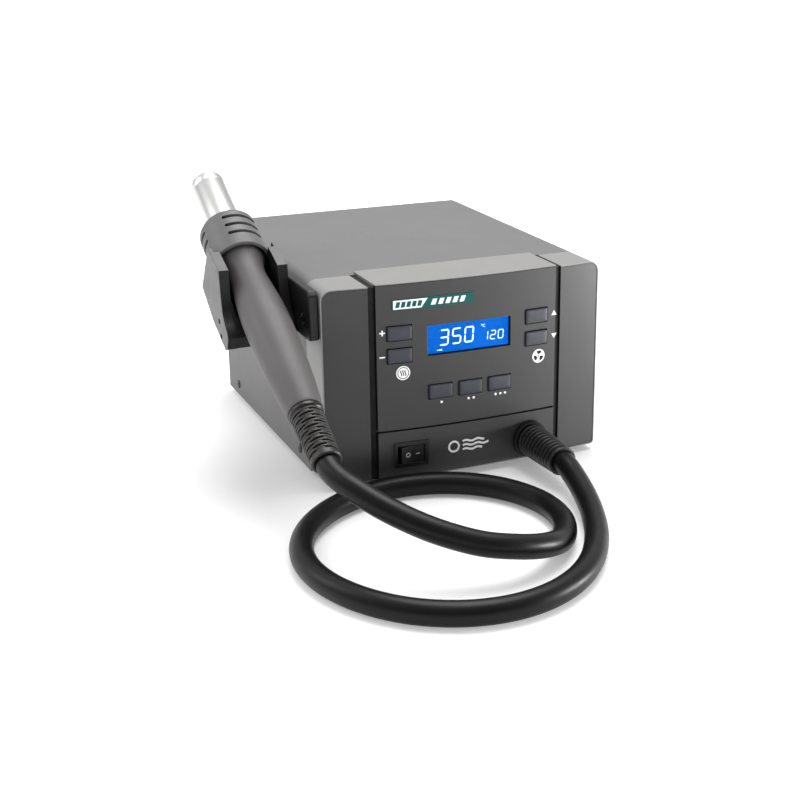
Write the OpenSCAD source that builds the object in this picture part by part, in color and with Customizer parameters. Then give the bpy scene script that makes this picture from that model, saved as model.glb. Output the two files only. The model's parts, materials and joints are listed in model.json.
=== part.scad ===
// Hot air rework station: a bench unit with a blower, and a heater handpiece
// that rests in a cradle on the unit's left side. Millimetres.
// X is the width (+X right), the front faces -Y, Z is up and the table is Z = 0.

/* [Station body] */
// Width of the station body
body_w = 188; // [184:1:196]
// Depth from the front corners to the back panel
body_d = 220; // [216:1:236]
// Height of the top cover above the table
body_h = 129; // [127:1:134]
// Height of the rubber feet
foot_h = 4; // [3.5:0.5:5]
// Radius of the two long top edges
corner_r = 7.5; // [6:0.5:9]
// Thickness of the sheet metal
sheet = 1.2; // [1:0.1:1.4]
// Depth of the moulded front bezel
bezel_d = 29; // [27:1:32]
// How far the middle of the front bows out
bow = 7; // [6:0.5:8]

/* [Front panel] */
// Distance of each groove from the middle
groove_x = 62.8; // [62:0.2:64]
// Width of each groove
groove_w = 4.2; // [3.6:0.2:4.6]
// Height of the seam between the two panels
seam_z = 36.3; // [35.5:0.1:37]
// How far the middle panels stand proud of the wings
mid_proud = 0.9; // [0.6:0.1:1.2]
// Width of a key
key_w = 15.2; // [14:0.2:17]
// Height of a key
key_h = 8.8; // [8:0.2:10]
// How far a key stands out
key_proud = 1.3; // [1.2:0.1:1.8]
// How far a key presses in
key_travel = 1.2; // [0.8:0.1:1.2]
// Width of the display opening
display_w = 56; // [50:1:56]
// Height of the display opening
display_h = 19; // [16:1:20]
// Angle that the power rocker tips through
rocker_swing = 18; // [14:1:18]

/* [Handpiece] */
// Pitch of the resting handpiece below horizontal
pitch = 26.4; // [26:0.1:27]
// Outer radius of the steel heater tube
tube_r = 11; // [10.5:0.1:11]
// Outer radius of the vented collar
collar_r = 18.5; // [18:0.1:18.6]
// Radius of the handle at its fullest
belly_r = 14.3; // [13.8:0.1:14.4]
// Radius of the handle at its hose end
tail_r = 10.6; // [10.2:0.1:11]
// Outer radius of the air hose
hose_r = 7; // [6.5:0.1:7]
// Inner radius of the air hose
hose_bore_r = 5.4; // [4.8:0.1:5.4]

/* [Cradle] */
// Thickness of each cradle cheek
cheek_t = 6.5; // [6.2:0.1:6.6]
// Clear gap between the cheeks
fork_gap = 30.4; // [30:0.1:30.8]
// Thickness of the side bracket
bracket_t = 6; // [5:0.5:6]

/* [Hidden] */
$fn = 64;

// small gaps
fit = 0.15;

// the bowed front is part of one large upright cylinder
bow_r = (body_w * body_w / 4 + bow * bow) / (2 * bow);
bow_y = bow_r - bow;
panel_back = -2.95;
mid_raise = 1.2;
mid_half = groove_x - groove_w / 2;
mullion_w = 9;
bezel_wall = 2.4;
bezel_rim = 0.9;
bezel_lap = 4;

// key centres as [x, z]
temp_keys = [[-46.2, 99], [-46.2, 84.8]];
air_keys = [[46.6, 99.2], [46.6, 84.8]];
channel_keys = [[-19.8, 59], [0.3, 59], [20.4, 59]];
all_keys = concat(temp_keys, air_keys, channel_keys);
display_z = 92;
key_gap = 0.5;
key_flange = 1.3;
board_y = 4;
board_posts = [for (x = [-54, 54]) for (z = [46, 118]) [x, z]];

// power switch and hose outlet on the lower panel
switch_x = -39.6;
switch_z = 20;
rocker_depth = 3;
outlet_x = 42.5;
outlet_z = 18;
gland_front = -11;
boot_len = 42;

// inside the case
inner_x = body_w / 2 - sheet;
floor_z = foot_h + sheet;
side_screws = [50, 194];
side_screw_z = 12.5;
foot_spots = [for (x = [-74, 74]) for (y = [46, 200]) [x, y]];
blower_x = 15.5;
blower_y = 122;
blower_r = 36;
blower_low = floor_z + 1.2;
blower_h = 24;
snout_y = blower_y - blower_r + 5;
inlet_x = -52;
inlet_z = 42;
power_spots = [for (x = [-84, -28]) for (y = [48, 116]) [x, y]];
power_z = 14;

// cradle, beside the case
cheek_in = body_w / 2 + fit + bracket_t + fit + cheek_t;
axis_x = -(cheek_in + fork_gap / 2);
cradle_out = cheek_in + fork_gap + cheek_t;
bracket_screws = [[15.5, 108.5], [42, 113]];
cheek_screws = [[45, 104.7], [42, 95.9]];

// handpiece: distances run along its axis from tip_y, tip_z towards the hose
tip_y = 146.4;
tip_z = 172.9;
tube_start = 6;
tube_bare = 49.4;
collar_start = 56;
collar_end = 90;
handle_start = 74;
handle_end = 222;
boot_start = 226;
boot_end = 262;
handle_wall = 2.2;
neck_r = 10.9;
neck_flare = 3.9;

// the whole object is centred on the origin
front_reach = tip_y - boot_end * cos(pitch) - 9 * sin(pitch);
rear_reach = body_d + 3.5;
home = [round((cradle_out - body_w / 2) / 2), -round((front_reach + rear_reach) / 2), 0];

// hose route from the panel boot, round the loop on the table and up to the handle
panel_boot_end = [outlet_x, gland_front - boot_len, outlet_z];
handle_boot_end = [axis_x, tip_y - boot_end * cos(pitch), tip_z - boot_end * sin(pitch)];
hose_middle = [
    [41.3, -70.4, 15], [37.2, -91.5, 11.6], [29.8, -115.3, 8.8], [18.3, -140.2, 7.4],
    [2.5, -163.4, 7], [-16.9, -181.6, 7], [-39.4, -193.2, 7], [-63.8, -197, 7],
    [-88.1, -192.3, 7], [-110, -179.5, 7], [-127.2, -159.8, 7], [-138.2, -135.4, 7],
    [-141.7, -109.4, 7], [-137.3, -84.2, 7], [-125.1, -61, 7], [-106.1, -41.7, 7],
    [-82.6, -28.9, 7], [-56.9, -24.1, 7], [-31.8, -28.2, 7], [-9.9, -40.8, 7], [6.2, -60.8, 7],
    [14.2, -85.4, 7], [12.4, -110.4, 7], [1.1, -132.8, 7.8], [-17, -149.6, 13.6],
    [-39, -156.8, 19.6], [-63.2, -154, 25.5], [-89.2, -140.6, 34.9], [-111.1, -117.7, 46.2]
];
hose_route = concat([panel_boot_end], hose_middle, [handle_boot_end]);
hose_sides = 12;

function face_y(x, proud) = bow_y - sqrt(pow(bow_r + proud, 2) - x * x);
function unit(v) = v / norm(v);
function smooth(t) = t * t * (3 - 2 * t);

// handle radius at a share t of its visible length, from the collar to the hose end
function handle_radius(t) = t < 0.42
    ? neck_r + (belly_r - neck_r) * smooth(t / 0.42) + neck_flare * pow(max(0, 1 - t / 0.13), 2)
    : belly_r - (belly_r - tail_r) * pow((t - 0.42) / 0.58, 2.4);

function hose_tangent(i) = i == 0 ? [0, -1, 0]
    : i == len(hose_route) - 1 ? [0, cos(pitch), sin(pitch)]
    : unit(hose_route[i + 1] - hose_route[i - 1]);

function hose_ring(i) = let (
        along = hose_tangent(i),
        side = unit(cross(along, [0, 0, 1])),
        up = cross(side, along)
    ) [for (k = [0:hose_sides - 1]) let (a = 360 * k / hose_sides)
        hose_route[i] + hose_r * (side * cos(a) + up * sin(a))];

module at_home() {
    translate(home) children();
}

// places children on the handpiece axis, their +Z towards the hose
module on_axis(along) {
    translate([axis_x, tip_y, tip_z]) rotate([90 + pitch, 0, 0]) translate([0, 0, along]) children();
}

// block given by its low and high corners
module block(low, high) {
    translate(low) cube(high - low);
}

// cylinder along +Y that starts at y
module y_rod(x, y, z, r, length) {
    translate([x, y, z]) rotate([-90, 0, 0]) cylinder(r = r, h = length);
}

// cylinder along +X that starts at x
module x_rod(x, y, z, r, length) {
    translate([x, y, z]) rotate([0, 90, 0]) cylinder(r = r, h = length);
}

// everything behind the bowed front face, grown by proud
module bow_solid(proud) {
    translate([0, bow_y, 0]) cylinder(r = bow_r + proud, h = body_h + 20, $fn = 360);
}

// the same, a little taller, to cut with
module bow_cut(proud) {
    translate([0, bow_y, -5]) cylinder(r = bow_r + proud, h = body_h + 30, $fn = 360);
}

// a layer that follows the bowed front
module bow_shell(inner, outer) {
    difference() {
        bow_solid(outer);
        bow_cut(inner);
    }
}

// front view outline with round top corners, shrunk by inset
module front_outline(inset) {
    half = body_w / 2 - inset;
    low = foot_h + inset;
    high = body_h - inset;
    top_r = corner_r - inset;
    low_r = 3 - inset;
    translate([-half, low + low_r]) square([2 * half, high - low - low_r - top_r]);
    translate([-half + low_r, low]) square([2 * (half - low_r), low_r + 1]);
    translate([-half + top_r, high - top_r - 1]) square([2 * (half - top_r), top_r + 1]);
    for (side = [-1, 1]) {
        translate([side * (half - top_r), high - top_r]) circle(r = top_r);
        translate([side * (half - low_r), low + low_r]) circle(r = low_r);
    }
}

module front_prism(inset, from_y, to_y) {
    translate([0, to_y, 0]) rotate([90, 0, 0]) linear_extrude(to_y - from_y) front_outline(inset);
}

// open arch section of the cover, shrunk by inset, down to a height
module arch(inset, low) {
    half = body_w / 2 - inset;
    r = corner_r - inset;
    translate([-half, low]) square([2 * half, body_h - inset - r - low]);
    translate([-half + r, body_h - inset - r - 1]) square([2 * (half - r), r + 1]);
    for (side = [-1, 1]) translate([side * (half - r), body_h - inset - r]) circle(r = r);
}

module base_tray() {
    half = inner_x - fit;
    color("lightgrey") difference() {
        union() {
            block([-half, bezel_d + 8, foot_h], [half, body_d - sheet - fit, floor_z]);
            for (side = [-1, 1]) {
                block([side > 0 ? half - sheet : -half, bezel_d + 8, foot_h],
                    [side > 0 ? half : sheet - half, body_d - 15, foot_h + 16]);
            }
        }
        for (y = side_screws) x_rod(-body_w, y, side_screw_z, 1.6, 2 * body_w);
        for (p = foot_spots) translate([p[0], p[1], 0]) cylinder(r = 1.6, h = 20);
        for (p = power_spots) translate([p[0], p[1], 0]) cylinder(r = 1.6, h = 20);
        for (k = [-3:3]) {
            block([blower_x - 20, blower_y + 5 * k - 1.2, 0], [blower_x + 20, blower_y + 5 * k + 1.2, 20]);
        }
    }
}

module case_cover() {
    color("darkgrey") difference() {
        translate([0, body_d, 0]) rotate([90, 0, 0]) linear_extrude(body_d - bezel_d - fit) difference() {
            arch(0, foot_h);
            arch(sheet, foot_h - 1);
        }
        for (y = side_screws) x_rod(-body_w, y, side_screw_z, 1.7, 2 * body_w);
        for (p = bracket_screws) x_rod(-body_w / 2 - 5, p[0], p[1], 1.7, 10);
    }
}

module rear_panel() {
    color("darkgrey") difference() {
        union() {
            translate([0, body_d, 0]) rotate([90, 0, 0]) linear_extrude(sheet) arch(sheet + fit, floor_z + fit);
            for (side = [-1, 1]) {
                block([side > 0 ? inner_x - fit - sheet : fit - inner_x, body_d - 12, floor_z + 1],
                    [side > 0 ? inner_x - fit : fit + sheet - inner_x, body_d, body_h - 20]);
            }
        }
        block([inlet_x - 14, 0, inlet_z - 17], [inlet_x + 14, body_d + 5, inlet_z + 17]);
        for (k = [0:9]) {
            translate([6 + 7 * k, body_d - 5, 74]) block([0, 0, 0], [3, 10, 34]);
            translate([6 + 7 * k, body_d - 5, 24]) block([0, 0, 0], [3, 10, 34]);
        }
    }
}

module front_bezel() {
    low = foot_h + bezel_wall - 0.3;
    high = body_h - bezel_wall + 0.3;
    color("silver") difference() {
        union() {
            difference() {
                union() {
                    intersection() {
                        front_prism(0, -bow - 1, bezel_d);
                        bow_solid(0);
                    }
                    intersection() {
                        block([-mid_half, -bow - 2, body_h - 2], [mid_half, bezel_d, body_h + mid_raise]);
                        bow_solid(mid_proud);
                    }
                    block([-mid_half, bezel_d - 1, body_h + 0.05],
                        [mid_half, bezel_d + bezel_lap, body_h + mid_raise]);
                    front_prism(sheet + fit, bezel_d - 1, bezel_d + 6);
                }
                front_prism(bezel_wall + 0.2, -20, bezel_d + 7);
            }
            for (side = [-1, 1]) {
                intersection() {
                    block([side * groove_x - mullion_w / 2, -20, low], [side * groove_x + mullion_w / 2, 20, high]);
                    bow_shell(-7, -3);
                }
            }
            intersection() {
                block([-groove_x, -20, seam_z - 4], [groove_x, 20, seam_z + 3]);
                bow_shell(-6, -3);
            }
        }
        difference() {
            front_prism(bezel_rim, -20, 20);
            bow_cut(-3);
        }
        difference() {
            block([-mid_half - 0.1, -20, body_h - 3], [mid_half + 0.1, 20, body_h + mid_raise - 0.7]);
            bow_cut(-3);
        }
        for (side = [-1, 1]) {
            block([side * groove_x - groove_w / 2, -20, body_h - 1.3],
                [side * groove_x + groove_w / 2, bezel_d + 10, body_h + 5]);
        }
        x_rod(-body_w, bracket_screws[0][0], bracket_screws[0][1], 1.7, body_w);
    }
}

// two dark strips that line the grooves over the top and down the front
module groove_trim() {
    half = groove_w / 2 - 0.1;
    color("black") for (side = [-1, 1]) {
        x = side * groove_x;
        intersection() {
            union() {
                block([x - half, -20, foot_h + 1.1], [x + half, 5, body_h - 0.7]);
                block([x - half, 0, body_h - 1.25], [x + half, bezel_d - 0.2, body_h - 0.7]);
            }
            union() {
                bow_shell(-2.95, -1.7);
                block([x - half, -20, body_h - 1.25], [x + half, bezel_d, body_h]);
            }
            bow_solid(-1.7);
        }
    }
}

module wing(side) {
    near = groove_x + groove_w / 2;
    far = body_w / 2 + 1;
    intersection() {
        front_prism(bezel_rim + 0.1, -20, 20);
        bow_shell(panel_back, -0.4);
        block([side > 0 ? near : -far, -20, 0], [side > 0 ? far : -near, 20, body_h]);
    }
}

module left_fascia() {
    color("dimgrey") wing(-1);
}

module right_fascia() {
    color("dimgrey") wing(1);
}

module control_panel() {
    color("dimgrey") difference() {
        union() {
            intersection() {
                block([-mid_half, -20, seam_z + 0.5], [mid_half, 20, body_h + mid_raise - 0.8]);
                bow_shell(panel_back, mid_proud);
            }
            for (p = board_posts) y_rod(p[0], -2.4, p[1], 3, board_y - 0.05 + 2.4);
        }
        block([-display_w / 2, -20, display_z - display_h / 2], [display_w / 2, 20, display_z + display_h / 2]);
        block([-display_w / 2 - 1.5, -5.9, display_z - display_h / 2 - 1.5],
            [display_w / 2 + 1.5, 20, display_z + display_h / 2 + 1.5]);
        for (p = all_keys) {
            block([p[0] - key_w / 2 - key_gap, -20, p[1] - key_h / 2 - key_gap],
                [p[0] + key_w / 2 + key_gap, 20, p[1] + key_h / 2 + key_gap]);
        }
        for (p = board_posts) y_rod(p[0], -1, p[1], 1.2, 10);
    }
}

module at_switch() {
    translate([switch_x, face_y(switch_x, mid_proud), switch_z]) rotate([0, 0, asin(switch_x / bow_r)]) children();
}

module lower_panel() {
    color("dimgrey") difference() {
        intersection() {
            block([-mid_half, -20, foot_h + bezel_rim + 0.1], [mid_half, 20, seam_z - 0.5]);
            bow_shell(panel_back, mid_proud);
        }
        at_switch() block([-9.8, -5, -7.1], [9.8, 10, 7.1]);
        y_rod(outlet_x, -20, outlet_z, 10, 30);
    }
}

module label_plate() {
    color("teal") intersection() {
        block([-50.5, -20, 113.5], [2.5, 20, 120]);
        bow_shell(mid_proud + 0.02, mid_proud + 0.45);
    }
}

module display_window() {
    color("royalblue", 0.6) block([-display_w / 2 - 1.3, -5.85, display_z - display_h / 2 - 1.3],
        [display_w / 2 + 1.3, -4.5, display_z + display_h / 2 + 1.3]);
}

module lcd_module() {
    half_w = display_w / 2 + 1;
    half_h = display_h / 2 + 1;
    color("darkblue") {
        block([-half_w, -4.4, display_z - half_h], [half_w, 0.6, display_z + half_h]);
        for (x = [-20, 20]) block([x - 5, 0.5, display_z - 1], [x + 5, board_y - 0.05, display_z + 1]);
    }
}

module control_board() {
    color("darkgreen") difference() {
        union() {
            block([-58, board_y, 42], [58, board_y + 1.6, 122]);
            block([-14, board_y + 1.5, 66], [0, board_y + 3.6, 80]);
            block([12, board_y + 1.5, 70], [20, board_y + 3.2, 76]);
            block([-40, board_y + 1.5, 104], [-14, board_y + 9, 110]);
        }
        for (p = board_posts) y_rod(p[0], board_y - 1, p[1], 1.6, 10);
    }
}

module key_switches() {
    color("darkslategrey") for (p = all_keys) {
        block([p[0] - 3, board_y - 2, p[1] - 3], [p[0] + 3, board_y - 0.02, p[1] + 3]);
        y_rod(p[0], board_y - 2.8, p[1], 1.7, 1);
    }
}

// one key: a cap that follows the bowed face, a retaining flange and a stem
module key_cap(p) {
    color("slategrey") {
        intersection() {
            block([p[0] - key_w / 2, -20, p[1] - key_h / 2], [p[0] + key_w / 2, 20, p[1] + key_h / 2]);
            bow_shell(panel_back - 1.4, mid_proud + key_proud);
        }
        intersection() {
            block([p[0] - key_w / 2 - key_flange, -20, p[1] - key_h / 2 - key_flange],
                [p[0] + key_w / 2 + key_flange, 20, p[1] + key_h / 2 + key_flange]);
            bow_shell(panel_back - 1.4, panel_back - 0.4);
        }
        y_rod(p[0], -4, p[1], 2, board_y - 2.8 - key_travel - 0.2 + 4);
    }
}

module temp_up_key() {
    key_cap(temp_keys[0]);
}

module temp_down_key() {
    key_cap(temp_keys[1]);
}

module air_up_key() {
    key_cap(air_keys[0]);
}

module air_down_key() {
    key_cap(air_keys[1]);
}

module channel_1_key() {
    key_cap(channel_keys[0]);
}

module channel_2_key() {
    key_cap(channel_keys[1]);
}

module channel_3_key() {
    key_cap(channel_keys[2]);
}

module switch_frame() {
    color("black") at_switch() difference() {
        union() {
            block([-11.3, -1.3, -8.2], [11.3, -0.02, 8.2]);
            block([-9.6, -1, -6.9], [9.6, 14, 6.9]);
        }
        block([-8.9, -5, -5.7], [8.9, 10, 5.7]);
        translate([0, rocker_depth, -6.7]) cylinder(r = 1.25, h = 13.4);
    }
}

module power_rocker() {
    color("black") at_switch() translate([0, rocker_depth, 0]) rotate([0, 0, rocker_swing / 2]) {
        translate([0, 0, -5.4]) linear_extrude(10.8) polygon([[-7.9, 3], [7.9, 3], [7.9, -5.1], [0, -4.2], [-7.9, -5.1]]);
        translate([0, 0, -6.5]) cylinder(r = 1.2, h = 13);
    }
}

module hose_gland() {
    color("black") difference() {
        union() {
            difference() {
                y_rod(outlet_x, gland_front, outlet_z, 12, 8);
                bow_cut(mid_proud);
            }
            y_rod(outlet_x, gland_front, outlet_z, 9.8, 16);
        }
        y_rod(outlet_x, gland_front - 1, outlet_z, hose_bore_r, 30);
    }
}

module gland_nut() {
    color("black") difference() {
        y_rod(outlet_x, -1, outlet_z, 10.9, 5);
        y_rod(outlet_x, -2, outlet_z, 9.85, 10);
    }
}

// ribbed strain relief that tapers from r0 to r1, with a plain ring at its end
module ribbed_boot(length, r0, r1, ribs) {
    step = (length - 4) / ribs;
    rotate_extrude() polygon(concat(
        [[hose_bore_r, 0]],
        [for (k = [0:ribs - 1]) let (r = r0 + (r1 - r0) * k / ribs)
            each [[r, k * step], [r, (k + 0.55) * step], [r - 1.3, (k + 0.6) * step], [r - 1.3, (k + 0.95) * step]]],
        [[r1, length - 4], [r1, length], [hose_bore_r, length]]
    ));
}

module panel_boot() {
    color("black") translate([outlet_x, gland_front, outlet_z]) rotate([90, 0, 0])
        ribbed_boot(boot_len, 10.8, 9.3, 10);
}

module air_hose() {
    rings = len(hose_route);
    color("black") polyhedron(
        points = [for (i = [0:rings - 1]) each hose_ring(i)],
        faces = concat(
            [[for (k = [0:hose_sides - 1]) k]],
            [for (i = [0:rings - 2]) for (k = [0:hose_sides - 1]) let (n = (k + 1) % hose_sides)
                [i * hose_sides + k, (i + 1) * hose_sides + k, (i + 1) * hose_sides + n, i * hose_sides + n]],
            [[for (k = [hose_sides - 1:-1:0]) (rings - 1) * hose_sides + k]]
        )
    );
}

module air_duct() {
    color("darkslategrey") difference() {
        y_rod(outlet_x, 5.1, outlet_z, hose_r, snout_y - 5.2);
        y_rod(outlet_x, 0, outlet_z, hose_bore_r, snout_y);
    }
}

// outline of the blower volute seen from above, grown by extra
module volute(extra) {
    translate([blower_x, blower_y]) circle(r = blower_r + extra);
    translate([outlet_x - 9.5 - extra, blower_y - blower_r + 14])
        square([19 + 2 * extra, blower_r - 14]);
}

module blower_housing() {
    color("darkslategrey") difference() {
        union() {
            translate([0, 0, blower_low]) linear_extrude(blower_h) volute(0);
            y_rod(outlet_x, snout_y, outlet_z, 8.5, 15);
        }
        translate([0, 0, blower_low + 2]) linear_extrude(blower_h) volute(-2);
        translate([blower_x, blower_y, 0]) cylinder(r = 16, h = 20);
        y_rod(outlet_x, 0, outlet_z, hose_bore_r, blower_y - 10);
    }
}

module blower_cover() {
    color("darkslategrey") difference() {
        translate([0, 0, blower_low + blower_h + 0.02]) linear_extrude(2) volute(0);
        translate([blower_x, blower_y, 0]) cylinder(r = 3, h = 60);
    }
}

module blower_motor() {
    color("silver") translate([blower_x, blower_y, blower_low + blower_h + 2.04]) difference() {
        union() {
            cylinder(r = 16, h = 2);
            cylinder(r = 13, h = 20);
        }
        translate([0, 0, -1]) cylinder(r = 2.05, h = 18);
    }
}

module blower_impeller() {
    color("dimgrey") translate([blower_x, blower_y, blower_low + 5]) {
        cylinder(r = 5, h = 14);
        cylinder(r = 2, h = 32);
        difference() {
            cylinder(r = 30, h = 1.6);
            for (a = [0:60:300]) rotate([0, 0, a]) translate([11, 0, -1]) cylinder(r = 4, h = 4);
        }
        for (a = [0:24:336]) rotate([0, 0, a]) translate([16, 0, 1]) rotate([0, 0, 30])
            block([0, -0.6, 0], [14.5, 0.6, 12]);
    }
}

module transformer_core() {
    color("dimgrey") translate([-44, 168, floor_z + 0.1]) difference() {
        block([-33, -12, 0], [33, 12, 54]);
        for (side = [-1, 1]) block([side * 16.5 - 5.5, -13, 11], [side * 16.5 + 5.5, 13, 43]);
    }
}

module transformer_coil() {
    color("goldenrod") translate([-44, 168, floor_z + 0.1]) difference() {
        block([-21.7, -22, 11.3], [21.7, 22, 42.7]);
        block([-11.3, -12.3, 0], [11.3, 12.3, 60]);
        for (side = [-1, 1]) block([side > 0 ? 21.5 : -33.5, -12.3, 0], [side > 0 ? 33.5 : -21.5, 12.3, 60]);
    }
}

module power_board() {
    color("darkgreen") difference() {
        union() {
            block([-88, 44, power_z], [-24, 120, power_z + 1.6]);
            for (x = [-36, -52]) translate([x, 58, power_z + 1.5]) cylinder(r = 6.5, h = 20);
            block([-84, 60, power_z + 1.5], [-66, 90, power_z + 17]);
            block([-42, 92, power_z + 1.5], [-28, 108, power_z + 13]);
        }
        for (p = power_spots) translate([p[0], p[1], 0]) cylinder(r = 1.6, h = 40);
    }
}

module heat_sink() {
    color("silver") translate([-60, 74, power_z + 1.65]) {
        block([0, 0, 0], [3, 40, 34]);
        for (k = [0:6]) block([2.5, 6 * k, 4], [16, 6 * k + 1.6, 34]);
    }
}

module board_spacers() {
    color("silver") for (p = power_spots) translate([p[0], p[1], floor_z + 0.02]) difference() {
        cylinder(r = 3, h = power_z - floor_z - 0.04);
        translate([0, 0, -1]) cylinder(r = 1.5, h = 20);
    }
}

// mains inlet with a keyed socket above a fuse drawer slot
module mains_inlet() {
    color("black") translate([inlet_x, body_d, inlet_z]) difference() {
        union() {
            block([-15.5, 0.02, -18.5], [15.5, 2.6, 18.5]);
            block([-13.7, -22, -16.7], [13.7, 1, 16.7]);
        }
        block([-12, -18, -1.5], [12, 5, 13.5]);
        block([-8.7, -19.5, -13.9], [8.7, 5, -4.1]);
        block([-4, -20, -13], [4, -17, -5]);
        for (x = [-7, 0, 7]) block([x - 1.1, -30, (x == 0 ? 8 : 3) - 2.1], [x + 1.1, -10, (x == 0 ? 8 : 3) + 2.1]);
    }
}

module inlet_pins() {
    color("silver") translate([inlet_x, body_d, inlet_z])
        for (x = [-7, 0, 7]) block([x - 1, -28, (x == 0 ? 8 : 3) - 2], [x + 1, -6, (x == 0 ? 8 : 3) + 2]);
}

module fuse_drawer() {
    color("black") translate([inlet_x, body_d, inlet_z]) difference() {
        union() {
            block([-8.4, -18, -13.6], [8.4, 2.6, -4.4]);
            block([-5, 2.5, -12.5], [5, 3.5, -11]);
        }
        block([-7, -17, -12], [7, 0.5, -4]);
    }
}

module fuse() {
    color("silver") translate([inlet_x, body_d, inlet_z]) y_rod(0, -16.6, -8.9, 2.5, 16.5);
}

module rubber_feet() {
    color("black") for (p = foot_spots) translate([p[0], p[1], 0]) difference() {
        cylinder(r = 9, h = foot_h - 0.02);
        translate([0, 0, -1]) cylinder(r = 3.4, h = 2.6);
        translate([0, 0, -1]) cylinder(r = 1.6, h = 20);
    }
}

module foot_screws() {
    color("silver") for (p = foot_spots) translate([p[0], p[1], 0]) {
        translate([0, 0, 0.6]) cylinder(r = 3, h = 0.98);
        translate([0, 0, 1]) cylinder(r = 1.5, h = floor_z + 3);
        translate([0, 0, floor_z + 0.02]) cylinder(r = 2.8, h = 2.2, $fn = 6);
    }
}

module case_screws() {
    color("silver") {
        for (y = side_screws) {
            for (side = [0, 1]) mirror([side, 0, 0]) {
                x_rod(inner_x - 5, y, side_screw_z, 1.5, 7);
                x_rod(body_w / 2 + 0.02, y, side_screw_z, 3, 1.4);
            }
        }
        for (p = board_posts) {
            y_rod(p[0], 0, p[1], 1.15, board_y + 2);
            y_rod(p[0], board_y + 1.62, p[1], 2.6, 1.6);
        }
        for (p = power_spots) translate([p[0], p[1], power_z + 1.62]) {
            cylinder(r = 2.6, h = 1.6);
            translate([0, 0, -8]) cylinder(r = 1.45, h = 9);
        }
    }
}

// plate on the case side that carries the cradle
// side profile of the bracket as [y, z]
bracket_profile = [[2, 98], [56, 98], [56, 128.5], [5, 128.5], [2, 125.5]];

module cradle_bracket() {
    x = -body_w / 2 - fit;
    color("black") difference() {
        translate([x - bracket_t, 0, 0]) rotate([90, 0, 90]) linear_extrude(bracket_t) polygon(bracket_profile);
        for (p = bracket_screws) {
            x_rod(x - 20, p[0], p[1], 1.7, 30);
            x_rod(x - 20, p[0], p[1], 3.4, 20 - bracket_t + 2.4);
        }
        for (p = [[34, 103], [50, 110]]) x_rod(x - 20, p[0], p[1], 1.4, 30);
    }
}

// side profile of a cheek as [y, z]
cheek_profile = [
    [64, 146.3], [40.5, 137], [39.4, 128], [38.4, 120], [37, 114.2], [34.6, 109.5], [31.2, 105.4],
    [27.6, 101.8], [26.2, 98.5], [29, 91], [34, 89.3],
    [60, 101.2], [83.6, 117.2]
];

module cheek(x) {
    difference() {
        translate([x, 0, 0]) rotate([90, 0, 90]) linear_extrude(cheek_t) polygon(cheek_profile);
        on_axis(collar_start - 4) {
            cylinder(r = collar_r + 0.4, h = collar_end - collar_start + 4.3);
            translate([-collar_r - 0.4, 0, 0]) cube([2 * collar_r + 0.8, 60, collar_end - collar_start + 4.3]);
        }
        for (p = cheek_screws) x_rod(x - 1, p[0], p[1], 1.6, cheek_t + 2);
        if (x > axis_x) for (p = [[34, 103], [50, 110]]) x_rod(x - 1, p[0], p[1], 1.6, cheek_t + 2);
    }
}

module left_cheek() {
    color("grey") cheek(axis_x - fork_gap / 2 - cheek_t);
}

module right_cheek() {
    color("grey") cheek(axis_x + fork_gap / 2);
}

// cross block between the cheeks, hollowed to the handle
module cradle_saddle() {
    half = fork_gap / 2 - 0.02;
    color("grey") difference() {
        translate([axis_x - half, 0, 0]) rotate([90, 0, 90]) linear_extrude(2 * half)
            polygon([[29.3, 91], [26.6, 98.3], [27.9, 101.4], [31.5, 105], [34.9, 109.1], [37.3, 113.8],
                [37.8, 115.6], [61.6, 127.5], [70, 110.5], [58, 101.2], [34.4, 91]]);
        on_axis(collar_end + 4) cylinder(r = belly_r + 0.5, h = 90);
        for (side = [-1, 1]) for (p = cheek_screws)
            x_rod(axis_x + side * (half - 3.5) - 4.5, p[0], p[1], 1.3, 9);
        translate([axis_x, 54, 90]) cylinder(r = 4.1, h = 17.1);
    }
}

module cradle_screws() {
    left = axis_x - fork_gap / 2 - cheek_t;
    color("silver") {
        for (p = cheek_screws) {
            x_rod(left + 1, p[0], p[1], 1.25, 10);
            x_rod(-left + 2 * axis_x - 11, p[0], p[1], 1.25, 10);
        }
        for (p = [[34, 103], [50, 110]]) x_rod(axis_x + fork_gap / 2 + 0.1, p[0], p[1], 1.35, 10);
        for (p = bracket_screws) {
            x_rod(-body_w / 2 - 4.4, p[0], p[1], 1.5, 9);
            x_rod(-body_w / 2 - 5.6, p[0], p[1], 3.2, 1.8);
        }
    }
}

module cradle_magnet() {
    color("silver") translate([axis_x, 54, 104]) cylinder(r = 4, h = 3);
}

// handle profile between two distances, shrunk by inset
module handle_section(from, to, inset) {
    steps = 22;
    rotate_extrude() polygon(concat(
        [[0, from]],
        [for (k = [0:steps]) let (s = from + (to - from) * k / steps, t = (s - collar_end) / (handle_end - collar_end))
            [handle_radius(max(t, 0)) - inset, s]],
        [[0, to]]
    ));
}

module handle_shell(side) {
    on_axis(0) intersection() {
        difference() {
            union() {
                handle_section(handle_start, handle_end, 0);
                translate([0, 0, 78]) cylinder(r = collar_r - 2.1, h = 4);
            }
            handle_section(handle_start - 1, handle_end + 1, handle_wall);
        }
        block([side > 0 ? 0.02 : -30, -30, handle_start - 2], [side > 0 ? 30 : -0.02, 30, handle_end]);
    }
}

module handle_shell_left() {
    color("grey") handle_shell(-1);
}

module handle_shell_right() {
    color("grey") handle_shell(1);
}

// wedge that spans an angle about +Y
module sector(angle, radius, height) {
    linear_extrude(height) polygon(concat([[0, 0]],
        [for (a = [-angle / 2:angle / 6:angle / 2]) [radius * sin(a), radius * cos(a)]]));
}

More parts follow.
